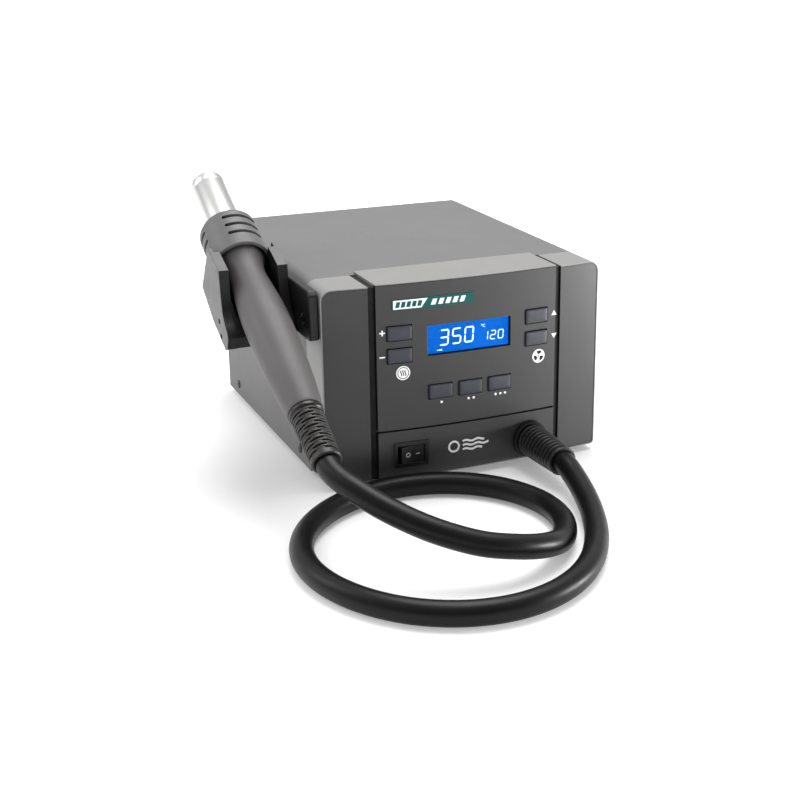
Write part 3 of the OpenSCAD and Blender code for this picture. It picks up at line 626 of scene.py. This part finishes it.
def hose_path():
    """A smooth line through the route in the row frame, with each end a little inside its boot."""
    points = [ORIGIN + Vector(p) for p in HOSE_ROUTE]
    first, last = Vector((0, -1, 0)), -ALONG
    slopes = [(points[i + 1] - points[i - 1]) / 2 for i in range(1, len(points) - 1)]
    slopes = [first * (points[1] - points[0]).length] + slopes + [last * (points[-1] - points[-2]).length]
    path = [points[0] - first * HOSE_INSIDE * MM]
    for i in range(len(points) - 1):
        for k in range(HOSE_STEPS):
            t = k / HOSE_STEPS
            a, b = points[i], points[i + 1]
            path.append(a * (1 + 2 * t) * (1 - t) ** 2 + slopes[i] * t * (1 - t) ** 2
                        + b * t * t * (3 - 2 * t) + slopes[i + 1] * t * t * (t - 1))
    return path + [points[-1], points[-1] + last * HOSE_INSIDE * MM]


def tube(path, radius, sides):
    """Points and faces of a round tube along a path, with closed ends."""
    verts = []
    for i, centre in enumerate(path):
        along = (path[min(i + 1, len(path) - 1)] - path[max(i - 1, 0)]).normalized()
        side = along.cross(Vector((0, 0, 1))).normalized()
        up = side.cross(along)
        for k in range(sides):
            a = 2 * pi * k / sides
            verts.append(centre + radius * (side * cos(a) + up * sin(a)))
    faces = [list(range(sides)), list(range(len(verts) - 1, len(verts) - 1 - sides, -1))]
    for i in range(len(path) - 1):
        faces += walls(sides, i * sides)
    return verts, faces


def add_hose():
    path = hose_path()
    hose = link("air_hose_rubber", new_mesh("air_hose_rubber", *tube(path, HOSE_R * MM, HOSE_SIDES)))
    hose.data.materials.append(HOSE)
    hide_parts("air_hose")
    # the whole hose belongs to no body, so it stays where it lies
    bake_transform(hose)


def on_hand(s):
    """The place on the handpiece's axis at a distance s from its tip."""
    return HAND @ shift(0, 0, s)


# ---- boots and gland

RIB = ((1, 0), (1, 0.12), (0.35, 0.2), (0.06, 0.3), (0, 0.42), (0, 0.62), (0.06, 0.74), (0.35, 0.84),
       (1, 0.92))


def crested(r, low, high, depth):
    """One rounded rib between two distances, as profile points."""
    return [(r - deep * depth, low + at * (high - low)) for deep, at in RIB]


def add_panel_boot():
    """Ribbed rubber boot at the air outlet, and the gland behind it."""
    turn = Matrix.Rotation(radians(90), 4, "X")
    out = PLACE @ shift(OUTLET[0], GLAND_Y, OUTLET[1]) @ turn
    length, r0, r1, ribs = 42, 10.8, 9.3, 10
    step = (length - 4) / ribs
    profile = [(6.2, 0), (r0 - 1.2, 0)]
    for k in range(ribs):
        profile += crested(r0 + (r1 - r0) * k / ribs, k * step, (k + 1) * step, 1.25)
    profile += [(r1 - 0.5, length - 4), (r1 - 0.1, length - 3.6), (r1, length - 3.1), (r1, length - 0.7),
                (r1 - 0.25, length - 0.2), (r1 - 0.8, length), (7.5, length), (7.12, length - 0.4),
                (7.1, 30), (6.2, 30)]
    build("panel_boot_rubber", revolve(profile, 72), RUBBER, ["panel_boot"], matrix=out)
    gland = [(6.3, -16), (9.8, -16), (9.8, -7.2), (12, -7.2), (12, -0.9), (11.85, -0.35), (11.4, 0),
             (10.3, 0.02), (10, -0.35), (6.3, -0.35)]
    build("outlet_gland", revolve(gland, 72), BLACK, ["hose_gland"], matrix=out)


def add_handle_boot():
    """Slotted strain relief: rings held apart by short bars that change places from gap to gap."""
    length, r0, r1, ribs = BOOT_END - BOOT_START, 9.6, 8.9, 13
    step = (length - 4) / ribs
    half = radians(17)
    shapes = [revolve([(6.2, 0), (7.7, 0), (7.7, length - 3), (6.2, length - 3)], 48)]
    for k in range(ribs):
        r = r0 + (r1 - r0) * k / ribs
        low, high, after = k * step, (k + 0.56) * step, (k + 1) * step
        shapes.append(revolve([(7.5, low), (r - 0.35, low), (r, low + 0.3), (r, high - 0.3),
                               (r - 0.35, high), (7.5, high)], 56))
        section = ((7.5, -half), (r - 0.45, -half), (r - 0.15, 0), (r - 0.45, half), (7.5, half))
        for turn in range(4):
            middle = radians(90 * turn + (45 if k % 2 else 0) + 22)
            shapes.append(prism(*[[(*polar(rr, middle + a), s) for rr, a in section]
                                  for s in (high - 0.2, after + 0.2)]))
    shapes.append(revolve([(6.2, length - 4), (r1 - 0.3, length - 4), (r1, length - 3.6), (r1, length - 0.6),
                           (r1 - 0.5, length), (7.5, length), (7.1, length - 0.4), (7.1, length - 3.4),
                           (6.2, length - 3.4)], 56))
    build("handle_boot_rubber", joined(*shapes), BOOT_BROWN, ["handle_boot"],
          matrix=on_hand(BOOT_START), body="handpiece")


# ---- handpiece

def handle_radius(s):
    t = max(0, (s - COLLAR_END) / (HANDLE_END - COLLAR_END))
    if t < 0.42:
        return NECK_R + (BELLY_R - NECK_R) * smooth(t / 0.42) + NECK_FLARE * max(0, 1 - t / 0.13) ** 2
    return BELLY_R - (BELLY_R - TAIL_R) * ((t - 0.42) / 0.58) ** 2.4


def add_handle():
    """Two soft-touch halves that meet along the top and the bottom, and the ring at their end."""
    wall, steps, r = 2.2, 74, TAIL_R
    at = [HANDLE_START + (HANDLE_END - HANDLE_START) * k / steps for k in range(steps + 1)]
    outer = [(handle_radius(s), s) for s in at[:-1]]
    outer += [(r, HANDLE_END - 0.5), (r - 0.15, HANDLE_END - 0.14), (r - 0.5, HANDLE_END)]
    inner = [(handle_radius(s) - wall, s) for s in reversed(at)]
    for name, start in (("left", 90.03), ("right", -89.97)):
        shell = revolve(outer + inner, 40, start, 179.94)
        build(f"handle_{name}_half", shell, HANDLE, [f"handle_shell_{name}"],
              matrix=HAND, body="handpiece")
    collar = [(6.4, 0.02), (r - 0.9, 0.02), (r - 0.9, 0.5), (r - 0.55, 0.9), (r - 0.5, 1.6), (r - 0.5, 2.6),
              (r - 0.8, 3.2), (r - 1.6, 3.9), (6.4, 3.9)]
    build("handle_end_collar", revolve(collar, 64), BLACK, ["handle_end_ring"],
          matrix=on_hand(HANDLE_END), body="handpiece")


def collar_grid():
    """Columns as (angle, slot end) pairs, and the heights of the rows that follow the slots."""
    columns = []
    for third in range(3):
        middle = 120 * third + 75
        slot = [(-33, -1)] + [(-33 + 66 * k / SLOT_CELLS, 0) for k in range(1, SLOT_CELLS)]
        bare = [(33, 1), (44, 0), (55, 0), (66, 0), (76, 0)]
        columns += [(middle + a, edge) for a, edge in slot + bare]
    heights = [2.6]
    for row in SLOT_ROWS:
        heights += [row + SLOT_HALF * k for k in (-1, -0.7, 0, 0.7, 1)]
    return columns, heights + [28, COLLAR_END - COLLAR_START - 0.9]


def collar_point(angle, edge, s, r):
    """A point of the wall. At a slot's end it moves outwards, which makes that end round."""
    for row in SLOT_ROWS:
        if edge and abs(s - row) < 0.8 * SLOT_HALF:
            angle += edge * degrees(SLOT_HALF / COLLAR_R) * sqrt(1 - ((s - row) / SLOT_HALF) ** 2)
    return (*polar(r, radians(angle)), s)


def collar_holes(columns, heights):
    """The cells of the grid that are open."""
    reach = SLOT_HALF + 0.01
    rows = [j for j in range(len(heights) - 1)
            if any(row - reach < heights[j] and heights[j + 1] < row + reach for row in SLOT_ROWS)]
    return {(k, j) for k in range(len(columns)) if k % SLOT_STEP < SLOT_CELLS for j in rows}


def collar_wall(n, m, holes):
    """Faces of a wall of n columns and m rows, outside and inside, with the sides of its slots."""
    inner = n * m
    faces = []
    for k in range(n):
        far = (k + 1) % n
        for j in range(m - 1):
            a, b, c, d = k * m + j, far * m + j, far * m + j + 1, k * m + j + 1
            if (k, j) not in holes:
                faces += [[a, b, c, d], [a + inner, d + inner, c + inner, b + inner]]
                continue
            sides = (((k - 1) % n, j), a, d), ((far, j), b, c), ((k, j - 1), a, b), ((k, j + 1), d, c)
            faces += [[p, q, q + inner, p + inner] for cell, p, q in sides if cell not in holes]
    return faces


def add_collar():
    """Front collar with three groups of three round-ended air slots through its wall."""
    columns, heights = collar_grid()
    n, m, length, r = len(columns), len(heights), COLLAR_END - COLLAR_START, COLLAR_R
    within = r - COLLAR_WALL
    verts = [collar_point(a, e, s, one) for one in (r, within) for a, e in columns for s in heights]
    faces = collar_wall(n, m, collar_holes(columns, heights))
    # the rounded front lip with its inner flange, and the rear rim
    lip = [(r - 0.12, 1.5), (r - 0.7, 0.6), (r - 1.6, 0.1), (r - 2.6, 0), (TUBE_R + 0.5, 0),
           (TUBE_R + 0.4, 0.2), (TUBE_R + 0.4, 2.3), (within, 2.5)]
    rim = [(r, length - 0.5), (r - 0.3, length - 0.1), (r - 0.7, length), (within, length)]
    for strip, first, last in ((lip, 0, n * m), (rim, m - 1, n * m + m - 1)):
        base, p = len(verts), len(strip)
        verts += [(*polar(one, radians(a)), s) for a, e in columns for one, s in strip]
        for k in range(n):
            near, far = base + k * p, base + (k + 1) % n * p
            here, there = k * m, (k + 1) % n * m
            faces += [[near + i, far + i, far + i + 1, near + i + 1] for i in range(p - 1)]
            faces.append([here + first, there + first, far, near])
            faces.append([near + p - 1, far + p - 1, there + last, here + last])
    place = on_hand(COLLAR_START)
    obj = build("vented_collar", (verts, faces), [COLLAR, COLLAR_INSIDE_SHADE],
                ["front_collar"], matrix=place, body="handpiece")

    # painted shade: the wall's inside, its slots' sides and its flange take the near-black second material
    def inside(normal, centre):
        out = centre - place.to_translation()
        off_axis = (out - ALONG * out.dot(ALONG)).length
        return off_axis < (COLLAR_R - 0.6) * MM and abs(normal.dot(ALONG)) < 0.95
    paint_faces(obj, inside)


def add_heater_tube():
    """Drawn steel tube with a rolled mouth and a fine groove behind it."""
    r, wall, end = TUBE_R, 0.7, TUBE_END - TUBE_START
    profile = [(r - 0.25, 0), (r - 0.08, 0.12), (r, 0.4), (r, 5.6), (r - 0.08, 5.9), (r - 0.08, 6.2),
               (r, 6.5), (r, end), (r - wall, end), (r - wall, 0.4), (r - wall + 0.1, 0.1),
               (r - wall + 0.25, 0)]
    build("heater_tube_steel", revolve(profile, 96), TUBE, ["heater_tube"],
          matrix=on_hand(TUBE_START), body="handpiece")


# ---- front panel

def add_key(node_name, x, z):
    """A softly crowned key cap, its retaining flange and its stem."""
    width, height = KEY_SIZE
    outline = rounded(width, height, 0.7, x, z, 4)
    rings = [(0, -3.2), (0, KEY_PROUD - 0.62), (0.1, KEY_PROUD - 0.42), (0.32, KEY_PROUD - 0.27),
             (0.8, KEY_PROUD - 0.15), (1.6, KEY_PROUD - 0.05), (2.8, KEY_PROUD)]
    verts = []
    for inset, lift in rings:
        for px, pz in outline:
            qx = x + (px - x) * (1 - 2 * inset / width)
            qz = z + (pz - z) * (1 - 2 * inset / height)
            verts.append((qx, face_y(qx, MID_PROUD + lift), qz))
    n, last = len(outline), len(rings) - 1
    faces = [list(range(n)), list(range(last * n, last * n + n))]
    for j in range(last):
        faces += walls(n, j * n)
    flange = extrude(rounded(width + 2.6, height + 2.6, 1, x, z, 3), bowed(PANEL_BACK - 0.4),
                     bowed(PANEL_BACK - 1.4))
    stem = extrude(circle(2, x, z, 20), flat(-4), flat(-0.2))
    build(node_name + "_cap", joined((verts, faces), flange, stem), KEY, [node_name],
          body=node_name)


def heat_waves(x, z):
    """Three upright waved lines."""
    steps = [i / 12 for i in range(13)]
    return [ribbon([(x + 1.35 * k + 0.35 * sin(t * 2 * pi), z - 1.8 + 3.6 * t) for t in steps], 0.62)
            for k in (-1, 0, 1)]


def fan_blades(x, z):
    """A hub and three blades."""
    blade = ((1.2, -20), (2.2, -40), (3.2, -44), (3.7, -26), (3.7, 12), (3.2, 28), (2, 26), (1.2, 22))
    return [circle(0.55, x, z, 14)] + [[polar(r, radians(a + 90 + 120 * k), x, z) for r, a in blade]
                                       for k in range(3)]


def add_marks():
    """White marks beside the keys: plus, minus, arrows, dots and two plain symbols."""
    def arrow(x, z, way, half=1.9):
        base, top = z - way * half * 0.75, z + way * half * 0.95
        return [(x - half, base), (x + half, base), (x, top)]
    bars = ((-57, 99.9, 3.6, 0.9), (-57, 99.9, 0.9, 3.6), (-57.2, 84.6, 3.6, 0.9))
    marks = [rounded(w, h, 0.27, x, z, 3) for x, z, w, h in bars]
    marks += [arrow(59.7, 99.3, 1), arrow(59.9, 84.4, -1)]
    marks += [circle(0.8, x, 51.6, 16) for x in (-19.2, -0.9, 2.6, 17.9, 21.3, 24.6)]
    marks += [circle(4.5, *HEAT_SIGN, 40), circle(4.5, *FAN_SIGN, 40)]
    build("key_marks", printed(marks), INK)
    dark = heat_waves(*HEAT_SIGN) + fan_blades(*FAN_SIGN)
    cuts = joined(ring(3.75, 3.3, *HEAT_SIGN, proud(0.08), proud(-0.15), 36), printed(dark, 0.08))
    build("symbol_cuts", cuts, TRIM_AND_SHADE)


def add_air_mark():
    """A plain air-flow sign on the lower panel: three waved lines and a ring."""
    shapes = [ring(4, 2.7, -11, 20.6, proud(0.05), proud(-0.15), 32)]
    for k, length in enumerate((15, 18, 13.5)):
        runs = [length * i / 20 for i in range(21)]
        wave = [(run - 5, 23.4 - 2.8 * k + 0.5 * sin(run * 0.75)) for run in runs]
        shapes.append(printed([ribbon(wave, 1.4)]))
    build("air_flow_mark", joined(*shapes), INK)


def add_label():
    """Teal name strip without words: a white slanted field with teal blocks, then plain white blocks."""
    low, high, left, right = 113.5, 120, -50.5, 2.5
    plate = band(left, right, low, high, (0, 0), proud(0.42), proud(0.02), 20)
    build("label_strip", plate, TEAL, ["label_plate"], bevel=0.08)
    on_plate = proud(0.4)
    white = [band(left + 0.5, left + 18.5, low + 0.5, high - 0.5, (0, 4), proud(0.47), on_plate, 10)]
    white += [band(x, x + 2.9, low + 1.4, high - 1.5, (1.4, 1.4), proud(0.47), on_plate, 2)
              for x in [-26.0 + 4.7 * k for k in range(5)]]
    build("label_field", joined(*white), LABEL_WHITE)
    teal = [band(x, x + 2.5, low + 1.5, high - 1.5, (0.9, 0.9), proud(0.52), proud(0.46), 2)
            for x in [left + 1.7 + 3.5 * k for k in range(5)]]
    build("label_blocks", joined(*teal), TEAL)


# seven-segment digits: the strokes of each number, and where each stroke runs in a unit box
SEGMENTS = {0: "abcdef", 1: "bc", 2: "abged", 3: "abgcd", 5: "afgcd"}
SPANS = {"a": (0, 1, 1, 1), "b": (1, 0.5, 1, 1), "c": (1, 0, 1, 0.5), "d": (0, 0, 1, 0),
         "e": (0, 0, 0, 0.5), "f": (0, 0.5, 0, 1), "g": (0, 0.5, 1, 0.5)}


def digit(number, x, z, width, height, stroke):
    """Outlines of one slightly leaning digit whose lower left corner is at x, z."""
    gap, h, lean = stroke * 0.16, stroke / 2, 0.07
    outlines = []
    for letter in SEGMENTS[number]:
        x0, z0, x1, z1 = (a * b for a, b in zip(SPANS[letter], (width, height, width, height)))
        span = hypot(x1 - x0, z1 - z0)
        ux, uz = (x1 - x0) / span, (z1 - z0) / span
        shape = []
        for t, side in ((gap, 0), (gap + h, h), (span - gap - h, h), (span - gap, 0), (span - gap - h, -h),
                        (gap + h, -h)):
            px, pz = x0 + ux * t - uz * side, z0 + uz * t + ux * side
            shape.append((x + px + lean * pz, z + pz))
        outlines.append(shape)
    return outlines


def display_marks(low, high):
    """Outlines of the large and the small number, the degree sign's C and three level bars."""
    marks = []
    for k, number in enumerate((3, 5, 0)):
        marks += digit(number, -18.9 + 8.4 * k, low + 5, 5.4, 9.4, 1)
    for k, number in enumerate((1, 2, 0)):
        marks += digit(number, 10.2 + 5.3 * k, low + 4.7, 3.3, 5.4, 0.6)
    letter = [polar(0.85, radians(50 + 26 * k), 11.3, high - 4.9) for k in range(11)]
    bars = [rounded(0.9, 0.5 + 0.25 * k, 0.12, -20.2 + 1.2 * k, low + 1.9, 2) for k in range(3)]
    return marks + [ribbon(letter, 0.26)] + bars


def add_display():
    """The module with its lit glass, the digits on it, a black mask and the clear pane in front."""
    w, h, deep = 56, 19, -4.4
    low, high = DISPLAY_Z - h / 2, DISPLAY_Z + h / 2
    block = extrude(rounded(w + 2, h + 2, 0.6, 0, DISPLAY_Z, 3), flat(deep), flat(0.6))
    build("display_module", block, backlight(), ["lcd_module"], bevel=0.15)
    shown, hidden = flat(deep - 0.06), flat(deep + 0.1)
    segments = joined(ring(0.5, 0.28, 9.6, high - 4.2, shown, hidden, 12),
                      *[extrude(o, shown, hidden) for o in display_marks(low, high)])
    build("display_digits", segments, lit_segment())
    outer = rounded(w + 1.6, h + 1.6, 0.8, 0, DISPLAY_Z, 3)
    inner = rounded(w - 0.2, h - 0.2, 0.2, 0, DISPLAY_Z, 3)
    mask = framed(outer, inner, flat(deep - 0.08), flat(deep + 0.02))
    build("display_mask", mask, BLACK)
    pane = extrude(rounded(w + 2.6, h + 2.6, 1, 0, DISPLAY_Z, 4), flat(-5.85), flat(-4.55))
    build("display_pane", pane, clear_plastic(), ["display_window"], bevel=0.1)


def add_switch():
    """The switch's frame, its rocker with the on side pressed, and two plain marks."""
    refined("switch_frame", "switch_bezel", BLACK, 0.35, 3)
    x, z = SWITCH
    on = PLACE @ shift(x, face_y(x, MID_PROUD), z) @ Matrix.Rotation(asin(x / BOW_R), 4, "Z")
    swing = on @ shift(0, 3, 0) @ Matrix.Rotation(radians(9), 4, "Z")
    half, tall = 7.9, 5.4

    def crown(x):
        return -4.2 - 0.7 * (abs(x) / half) ** 1.7
    top = [-half + half * k / 8 for k in range(17)]
    outline = [(half, 3), (-half, 3)] + [(x, crown(x)) for x in top]
    key = prism(*[[(x, y, z) for x, y in outline] for z in (-tall, tall)])
    rod = revolve([(0.2, -6.5), (1.2, -6.5), (1.2, 6.5), (0.2, 6.5)], 20)
    build("rocker_key", joined(key, rod), BLACK, ["power_rocker"], 0.3, 3,
          matrix=swing, body="rocker")
    shown, hidden = (lambda x, z: crown(x) - 0.04), (lambda x, z: crown(x) + 0.2)
    ink = joined(ring(1.6, 1.05, -3.4, 0, shown, hidden, 24),
                 extrude(rounded(2.8, 0.6, 0.15, 3.4, 0, 2), shown, hidden))
    build("rocker_marks", ink, INK_GREY, matrix=swing, body="rocker")


# ---- case, cradle, fasteners

def add_case():
    refined("case_cover", "case_sheet", STEEL_PAINT, 0.28)
    refined("rear_panel", "rear_sheet", STEEL_PAINT, 0.2)
    refined("front_bezel", "bezel_moulding", BEZEL, 0.3)
    refined("groove_trim", "groove_strips", TRIM_AND_SHADE, 0.12, 1)
    # painted shade: each panel's side walls and its top and bottom faces, in the grooves and the seam, take
    # the near-black second material
    for name in ("left_fascia", "right_fascia", "control_panel", "lower_panel"):
        panel = refined(name, name + "_moulding", [FASCIA, TRIM_AND_SHADE], 0.3)
        paint_faces(panel, lambda normal, centre: abs(normal.x) > 0.8 or abs(normal.z) > 0.8)


def add_cradle():
    """The fork: painted shade darkens its faces, apart from the cheeks' outer sides and top faces and the
    saddle's underside; the bracket is black.
    """
    for side, outward in (("left", -1), ("right", 1)):
        name = side + "_cheek"
        cheek = refined(name, name + "_moulding", [CRADLE, CRADLE_BLACK_AND_SHADE], 0.5, 3)
        # painted shade: the cheek's front, inner and lower faces take the dark second material
        paint_faces(cheek, lambda normal, centre: normal.x * outward < 0.5
                    and (normal.dot(LIFT) < 0.75 or centre.z < 125 * MM))
    saddle = refined("cradle_saddle", "saddle_moulding", [CRADLE, CRADLE_BLACK_AND_SHADE], 0.4, 3)
    # painted shade: every saddle face but its underside takes the dark second material
    paint_faces(saddle, lambda normal, centre: normal.z > -0.75)
    refined("cradle_bracket", "bracket_moulding", CRADLE_BLACK_AND_SHADE, 1.2, 4)


def screw_head(radius, height, sides=40):
    """A pan head on the z axis, its crown at z = height."""
    profile = [(0.02, 0), (radius, 0), (radius, height * 0.25)]
    for k in range(1, 8):
        a = radians(90 * k / 8)
        profile.append((radius * (0.35 + 0.65 * cos(a)), height * (0.25 + 0.75 * sin(a))))
    return revolve(profile + [(0.02, height)], sides)


def pin(radius, low, high, sides=20):
    """A plain shank on the z axis."""
    return revolve([(0.02, low), (radius, low), (radius, high), (0.02, high)], sides)


def cross_pit(radius, height):
    """The cross recess of a screw head, as a closed shape to cut with."""
    a, b = radius * 0.14, radius * 0.58
    outline = [(a, b), (-a, b), (-a, a), (-b, a), (-b, -a), (-a, -a), (-a, -b), (a, -b), (a, -a), (b, -a),
               (b, a), (a, a)]
    return prism([(x * 0.45, y * 0.45, height * 0.25) for x, y in outline],
                 [(x, y, height + 1) for x, y in outline])


def facing(point, outward, turn=0):
    """Places a shape at a point with its own +z outwards."""
    towards = Vector(outward).to_track_quat("Z", "Y").to_matrix().to_4x4()
    return Matrix.Translation(point) @ towards @ Matrix.Rotation(radians(turn), 4, "Z")


def add_case_screws():
    """Cross-head screws in the sides of the case, and plain ones for the boards inside."""
    half = BODY_W / 2
    heads, pits, inner = [], [], []
    for k, y in enumerate((50, 194)):
        for side in (-1, 1):
            where = facing((side * (half + 0.02), y, 12.5), (side, 0, 0), 20 + 31 * k)
            heads += [moved(screw_head(3, 1.4), where), moved(pin(1.5, -5, 0.1), where)]
            pits.append(moved(cross_pit(3, 1.4), where))
    for x in (-54, 54):
        for z in (46, 118):
            where = facing((x, 5.62, z), (0, 1, 0))
            inner += [moved(screw_head(2.6, 1.6, 24), where), moved(pin(1.15, -5.6, 0.1, 16), where)]
    for x in (-84, -28):
        for y in (48, 116):
            where = facing((x, y, 15.62), (0, 0, 1))
            inner += [moved(screw_head(2.6, 1.6, 24), where), moved(pin(1.45, -8, 0.1), where)]
    obj = build("case_screw_set", joined(*heads, *inner), DARK_STEEL, ["case_screws"])
    subtract(obj, joined(*pits), PLACE)


def add_cradle_screws():
    """Two cross-head screws in the bracket, hollow screws in the cheeks, and pins through the fork."""
    face = -BODY_W / 2 - 3.8
    heads, pits = [], []
    for k, (y, z) in enumerate(((15.5, 108.5), (42, 113))):
        where = facing((face, y, z), (-1, 0, 0), 15 + 40 * k)
        heads += [moved(screw_head(3.2, 1.8), where), moved(pin(1.45, -8, 0.1), where)]
        pits.append(moved(cross_pit(3.2, 1.8), where))
    socket = revolve([(0.7, -9.5), (1.25, -9.5), (1.25, 0), (0.7, -0.6)], 24)
    for y, z in ((45, 104.7), (42, 95.9)):
        heads += [moved(socket, facing((x, y, z), (way, 0, 0))) for x, way in ((-142.7, -1), (-101.3, 1))]
    for y, z in ((34, 103), (50, 110)):
        heads.append(moved(pin(1.35, -9.9, 0), facing((-96.7, y, z), (1, 0, 0))))
    obj = build("cradle_screw_set", joined(*heads), DARK_STEEL, ["cradle_screws"])
    subtract(obj, joined(*pits), PLACE)


def add_feet():
    """Four rubber feet, each with its screw and nut."""
    pad = revolve([(3.4, 0), (8.2, 0), (8.6, 0.25), (8.8, 0.6), (9, 3.6), (8.9, 3.98), (1.7, 3.98),
                   (1.7, 1.6), (3.4, 1.6)], 48)
    head = moved(screw_head(3, 0.95, 32), shift(0, 0, 1.56) @ Matrix.Rotation(pi, 4, "X"))
    screw = joined(head, pin(1.5, 1, 9.2), pin(2.8, 5.22, 7.42, 6))
    spots = [shift(x, y, 0) for x in (-74, 74) for y in (46, 200)]
    build("foot_pads", joined(*[moved(pad, spot) for spot in spots]), RUBBER,
          ["rubber_feet"])
    build("foot_screw_set", joined(*[moved(screw, spot) for spot in spots]), ZINC,
          ["foot_screws"])


CARRIED = (
    (BOARD, "control_board", "power_board", "handle_board"),
    (FAN, "air_duct", "blower_housing", "blower_cover", "blower_impeller"),
    (ALUMINIUM, "blower_motor", "heat_sink"),
    (ZINC, "board_spacers", "inlet_pins"),
    (BLACK, "key_switches", "gland_nut"),
    (SHEET_ZINC, "base_tray"), (LAMINATIONS, "transformer_core"), (COPPER, "transformer_coil"),
    (GLASS_FUSE, "fuse"), (DARK_STEEL, "cradle_magnet"), (MICA, "mica_sleeve"), (CERAMIC, "heater_core"),
    (HEATER_WIRE, "heater_coil"),
)


def dress_carried_nodes():
    """CAD parts whose shape is right as it stands get their material only."""
    for made, *names in CARRIED:
        for name in names:
            mesh = frame["nodes"][name].data
            mesh.materials.clear()
            mesh.materials.append(made)


def add_rear_fittings():
    refined("mains_inlet", "inlet_socket", BLACK, 0.3)
    refined("fuse_drawer", "fuse_drawer_moulding", BLACK, 0.25)


# ---- floor and light

def add_floor():
    """Pale round floor that brightens to white away from the object, like a lit studio sweep."""
    made, tree, shader = material("pale_floor", Specular_IOR_Level=0.2, Emission_Color=(1, 1, 1, 1))
    vector = place_in(tree)
    reach = node(tree, "VectorMath", {"operation": "LENGTH"})
    tree.links.new(vector, reach.inputs[0])
    feed(tree, shader, Base_Color=tones(tree, noise(tree, vector, 6, 3), (grey(0.7), grey(0.74))),
         Roughness=ranged(tree, noise(tree, vector, 40), 0.6, 0.7),
         Emission_Strength=ranged(tree, reach.outputs["Value"], 0.18, 1, 0.1, 0.75))
    # the far rim turns up a little, so a low view still ends in white
    verts = [(*p, 0) for p in circle(FLOOR_R, 0, 0, 48)] + [(*p, RIM_HIGH) for p in circle(RIM_R, 0, 0, 48)]
    mesh = bpy.data.meshes.new("floor")
    mesh.from_pydata(verts, [], [tuple(range(48))] + walls(48))
    floor = link("floor", mesh)
    floor.data.materials.append(made)


def add_lamp(name, where, aim, size, power):
    data = bpy.data.lights.new(name, "AREA")
    data.shape = "RECTANGLE"
    data.size, data.size_y = size
    data.energy = power
    lamp = link(name, data)
    lamp.location = where
    lamp.rotation_euler = (Vector(aim) - Vector(where)).to_track_quat("-Z", "Y").to_euler()
    lamp.visible_camera = False


def add_sky():
    """Soft room light: bright overhead, dimmer towards the horizon and dimmest from the front."""
    world = bpy.data.worlds.new("studio")
    world.use_nodes = True
    tree = world.node_tree
    parts = node(tree, "SeparateXYZ", Vector=node(tree, "TexCoord").outputs["Generated"])
    height = ranged(tree, parts.outputs["Z"], 0.42, 1, 0, 0.75)
    front = ranged(tree, parts.outputs["Y"], 0.45, 1, -0.7, 0.3)
    background = tree.nodes["Background"]
    background.inputs["Color"].default_value = (1, 1, 1, 1)
    tree.links.new(combined(tree, "Math", "MULTIPLY", height, front), background.inputs["Strength"])
    bpy.context.scene.world = world


def add_light():
    middle = (0, 0, 0.06)
    add_lamp("overhead", (0.18, 0.12, 1.15), middle, (0.8, 0.8), 15)
    add_lamp("left_back", (-0.9, 0.5, 0.7), middle, (0.5, 0.7), 3.8)
    add_lamp("right_front", (0.7, -0.4, 0.05), (0.1, -0.02, 0.05), (0.25, 0.08), 5.5)
    bpy.context.scene.view_settings.view_transform = "Standard"


for make in (add_camera, add_hose, add_panel_boot, add_handle_boot, add_handle, add_collar,
             add_heater_tube, add_case):
    make()
for key_name, key_place in KEYS.items():
    add_key(key_name, *key_place)
for make in (add_marks, add_air_mark, add_label, add_display, add_switch, add_cradle, add_case_screws,
             add_cradle_screws, add_feet, add_rear_fittings, dress_carried_nodes, add_floor, add_sky,
             add_light):
    make()
